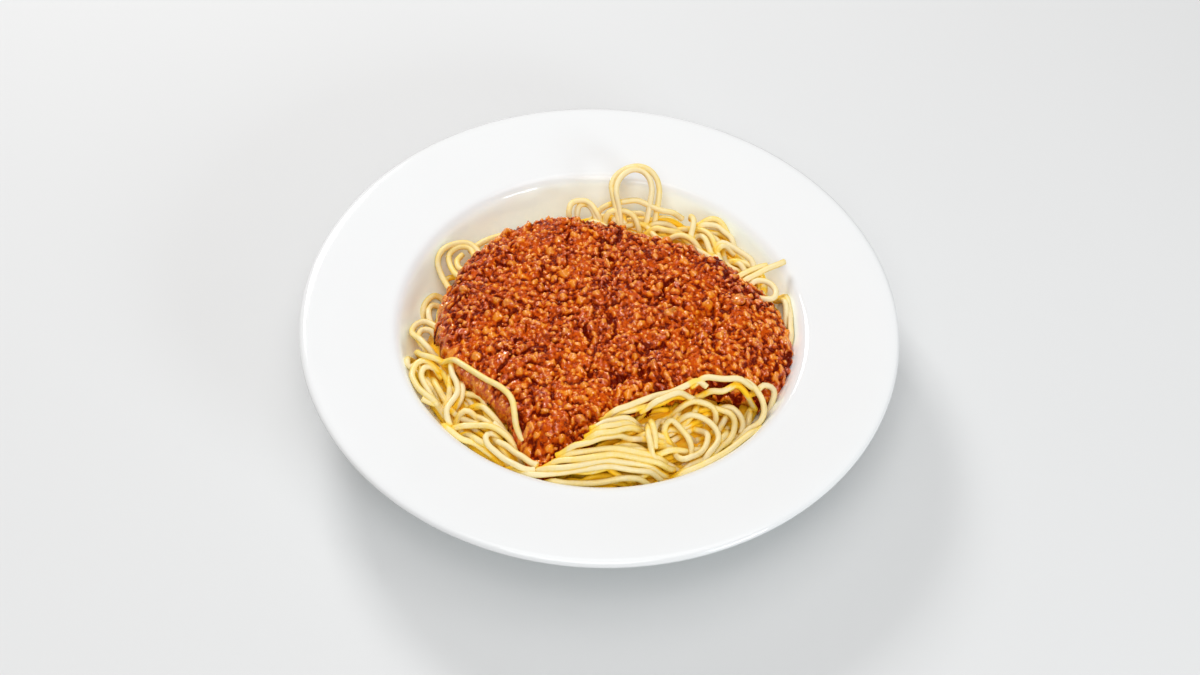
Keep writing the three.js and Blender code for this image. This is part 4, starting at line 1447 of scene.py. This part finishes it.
OVER_SAUCE = (
    Strand(((43, -40), (49, -39), (55, -39), (61, -35), (66, -35), (71, -36))),
    Strand(((31, -48), (37, -46), (42, -44), (47, -44), (51, -44), (53, -46), (52, -48)), Loose.END),
    Strand(((3, -61), (8, -57), (15, -54), (21, -51), (28, -48), (34, -44), (41, -41))),
    Strand((
        (2, -59), (7, -57), (13, -54), (19, -50), (26, -46), (32, -44), (39, -40), (44, -37), (48, -39),
    ), Loose.END),
    Strand(((19, -53), (26, -50), (31, -47), (37, -44), (43, -42))),
    Strand(((67, -34), (71, -32), (74, -29), (78, -29), (79, -31), (77, -36), (74, -38))),
    Strand((
        (58, -36), (61, -34), (65, -33), (69, -34), (73, -38), (74, -43), (72, -48), (67, -52), (61, -57),
    )),
    Strand(((41, -39), (44, -37), (47, -36), (51, -36), (56, -36), (61, -35), (66, -35), (71, -33))),
    Strand((
        (-70, -26), (-66, -27), (-60, -32), (-54, -37), (-48, -42), (-42, -46), (-38, -50), (-36, -54),
        (-35, -59), (-34, -63), (-31, -67),
    )),
)

RAISED = (
    # tall arch at the back
    (
        (7, 60, 36), (5.6, 65, 44), (3.5, 71, 50), (2.7, 76, 52), (4.9, 81, 53.5), (9.7, 84, 55.3),
        (15.2, 85, 56), (20.4, 84, 54.7), (23.9, 81, 52), (25.4, 77, 49), (25, 71, 45), (24, 66, 39),
        (23, 61, 34),
    ),
    (
        (8, 61, 37), (6.7, 66, 46), (5, 71, 51.7), (5.4, 76, 53.4), (8, 80, 55), (12.5, 83, 55.6),
        (17.2, 83, 54.6), (20.5, 80, 52.8), (21.8, 76, 50), (21.2, 71, 46), (20, 65, 39), (19, 61, 34),
    ),
    # strand across its foot, and the curls on both sides
    (
        (-6, 66, 36), (-2, 69, 42), (3, 70, 45), (9, 71, 46), (15, 72, 46), (21, 70, 45), (27, 68, 44),
        (32, 68, 43), (37, 67, 40),
    ),
    (
        (-15, 61, 34), (-17, 66, 42), (-16, 70, 44), (-13, 72, 44), (-9, 72, 44), (-6, 70, 43),
        (-4, 67, 42), (-1, 63, 38),
    ),
    ((-12, 62, 35), (-13, 68, 41), (-12, 71, 42), (-9, 72, 42), (-6, 69, 42), (-3, 63, 38)),
    ((0, 60, 36), (1, 64, 43), (3, 65, 45), (7, 66, 45), (11, 65, 45), (14, 64, 43), (17, 60, 37)),
    ((4, 60, 36), (5, 64, 42), (8, 67, 42), (10, 62, 38)),
    ((41, 68, 39), (41, 65, 44), (42, 60, 46), (41, 54, 44), (40, 50, 39)),
    # loose ends and a loop at the right
    ((60, 27, 38), (63, 29, 43), (68, 32, 44), (73, 34, 45), (76, 35, 45)),
    ((61, 25, 38), (66, 27, 43), (71, 30, 44), (76, 33, 45), (81, 35, 46), (84, 37, 46)),
    (
        (66, 24, 38), (69, 26, 42), (71, 27, 43), (75, 27, 43), (78, 25, 43), (80, 21, 43), (79, 17, 43),
        (76, 16, 43), (73, 18, 41), (71, 22, 38),
    ),
    # curl against the left wall
    (
        (-70, 24, 30), (-75, 33, 31), (-77, 39, 34), (-75, 44, 36), (-70, 48, 36), (-64, 49, 36),
        (-59, 45, 36),
        (-57, 37, 36), (-58, 30, 35),
    ),
    (
        (-57, 30, 35), (-61, 27, 35), (-67, 30, 34), (-71, 37, 33), (-72, 43, 34), (-68, 47, 35),
        (-63, 47, 35),
        (-60, 41, 35), (-61, 35, 35), (-66, 34, 34), (-68, 39, 34), (-66, 44, 33),
    ),
    ((-63, 49, 30), (-58, 54, 31), (-52, 57, 32), (-46, 57, 34), (-40, 53, 36)),
)

CREASES = (
    Crease(((53, 7), (47, 2), (42, -7), (40, -15), (39, -22)), 4.5, 3.0),
    Crease(((-25, 12), (-26, 0), (-24, -9)), 4.0, 1.6),
    Crease(((11, -30), (11, -38)), 4.0, 2.0),
)

GRAINS = (
    Grains("mince_coarse", 800, (1.4, 3.0), (-0.75, 0.05), 0.7, 0.04, SauceFinish("coarse_mince")),
    Grains("mince_medium", 1000, (0.85, 1.5), (-0.7, 0.3), 0.8, 0.1, SauceFinish("medium_mince")),
    Grains(
        "mince_fine", 2600, (0.5, 0.95), (-0.75, -0.35), 0.5, 0.06, SauceFinish("fine_mince"),
        squash=(0.65, 0.95), on_top=True,
    ),
)


# ---------------------------------------------------------------- studio
@dataclass(frozen=True)
class Lamp:
    """Oblong soft lamp, with its power in watts."""

    name: str
    place: Point
    size: Place
    power: float
    colour: Colour = WHITE


@dataclass(frozen=True)
class Studio:
    """Table, soft light and camera."""

    table_size: float = 6.0
    sky: float = 0.36
    lamps: tuple[Lamp, ...] = (
        Lamp("front", (-0.1, -1.05, 1.7), (1.1, 1.1), 13.6),
        Lamp("top", (0.1, -0.1, 1.7), (1.2, 1.2), 6.5),
        Lamp("window", (1.06, -1.06, 0.56), (0.5, 0.45), 8.0, colour=(0.84, 0.94, 1.0)),
        Lamp("key", (-0.52, 0.97, 0.9), (0.4, 0.4), 9.5),
    )
    lit_height: float = 0.04
    lens: float = 59.944
    sensor: float = 36.0
    shift: Place = (-0.0002, -0.0196)
    distance: float = 0.9
    elevation: float = 49.158
    roll: float = 2.553
    aim_height: float = 0.046

    def build(self) -> None:
        """Sets up everything round the object."""
        deselect_all()
        bpy.ops.mesh.primitive_plane_add(size=self.table_size)
        table = bpy.context.active_object
        table.name = "table_top"
        table.data.materials.append(TableFinish().material())
        world = bpy.data.worlds.new("soft_sky")
        bpy.context.scene.world = world
        world.use_nodes = True
        background = world.node_tree.nodes["Background"]
        Graph(world.node_tree).feed(background, {"Color": rgba(WHITE), "Strength": self.sky})
        bpy.context.scene.view_settings.view_transform = "Standard"
        for lamp in self.lamps:
            self.add_lamp(lamp)
        self.add_camera()

    def add_lamp(self, lamp: Lamp) -> None:
        """Adds a lamp that faces the plate."""
        bpy.ops.object.light_add(type="AREA", location=lamp.place)
        obj = bpy.context.active_object
        obj.name = lamp.name
        obj.data.shape = "RECTANGLE"
        obj.data.size, obj.data.size_y = lamp.size
        obj.data.energy = lamp.power
        obj.data.color = lamp.colour
        towards = Vector((0, 0, self.lit_height)) - Vector(lamp.place)
        obj.rotation_euler = towards.to_track_quat("-Z", "Y").to_euler()

    def add_camera(self) -> None:
        """Adds the camera at the viewing angle, with its small roll and shift."""
        tilt, roll = math.radians(self.elevation), math.radians(self.roll)
        forward = Vector((0, math.cos(tilt), -math.sin(tilt)))
        right, up = Vector((1, 0, 0)), Vector((0, math.sin(tilt), math.cos(tilt)))
        rolled_right = right * math.cos(roll) + up * math.sin(roll)
        rolled_up = up * math.cos(roll) - right * math.sin(roll)
        turned = Matrix((rolled_right, rolled_up, -forward)).transposed().to_4x4()
        place = Vector((0, 0, self.aim_height)) - forward * self.distance
        data = bpy.data.cameras.new("camera")
        data.lens, data.sensor_width = self.lens, self.sensor
        data.shift_x, data.shift_y = self.shift
        camera = bpy.data.objects.new("camera", data)
        camera.matrix_world = Matrix.Translation(place) @ turned
        bpy.context.scene.collection.objects.link(camera)
        bpy.context.scene.camera = camera


def main() -> None:
    """Builds the plate, the pasta and the sauce in the order in which they are served."""
    logging.basicConfig(level=logging.INFO)
    plate = Plate()
    plate.build()
    heap = Heap(plate)
    spaghetti = Spaghetti(heap, BESIDE_SAUCE, OVER_SAUCE, RAISED)
    ground = spaghetti.start_ground()
    spaghetti.lay_beside(ground)
    sauce = Sauce(heap, CREASES, GRAINS)
    sauce.spread_over(ground)
    spaghetti.lay_over(ground)
    spaghetti.build(ground)
    sauce.build(ground)
    Studio().build()


if __name__ == "__main__":
    main()
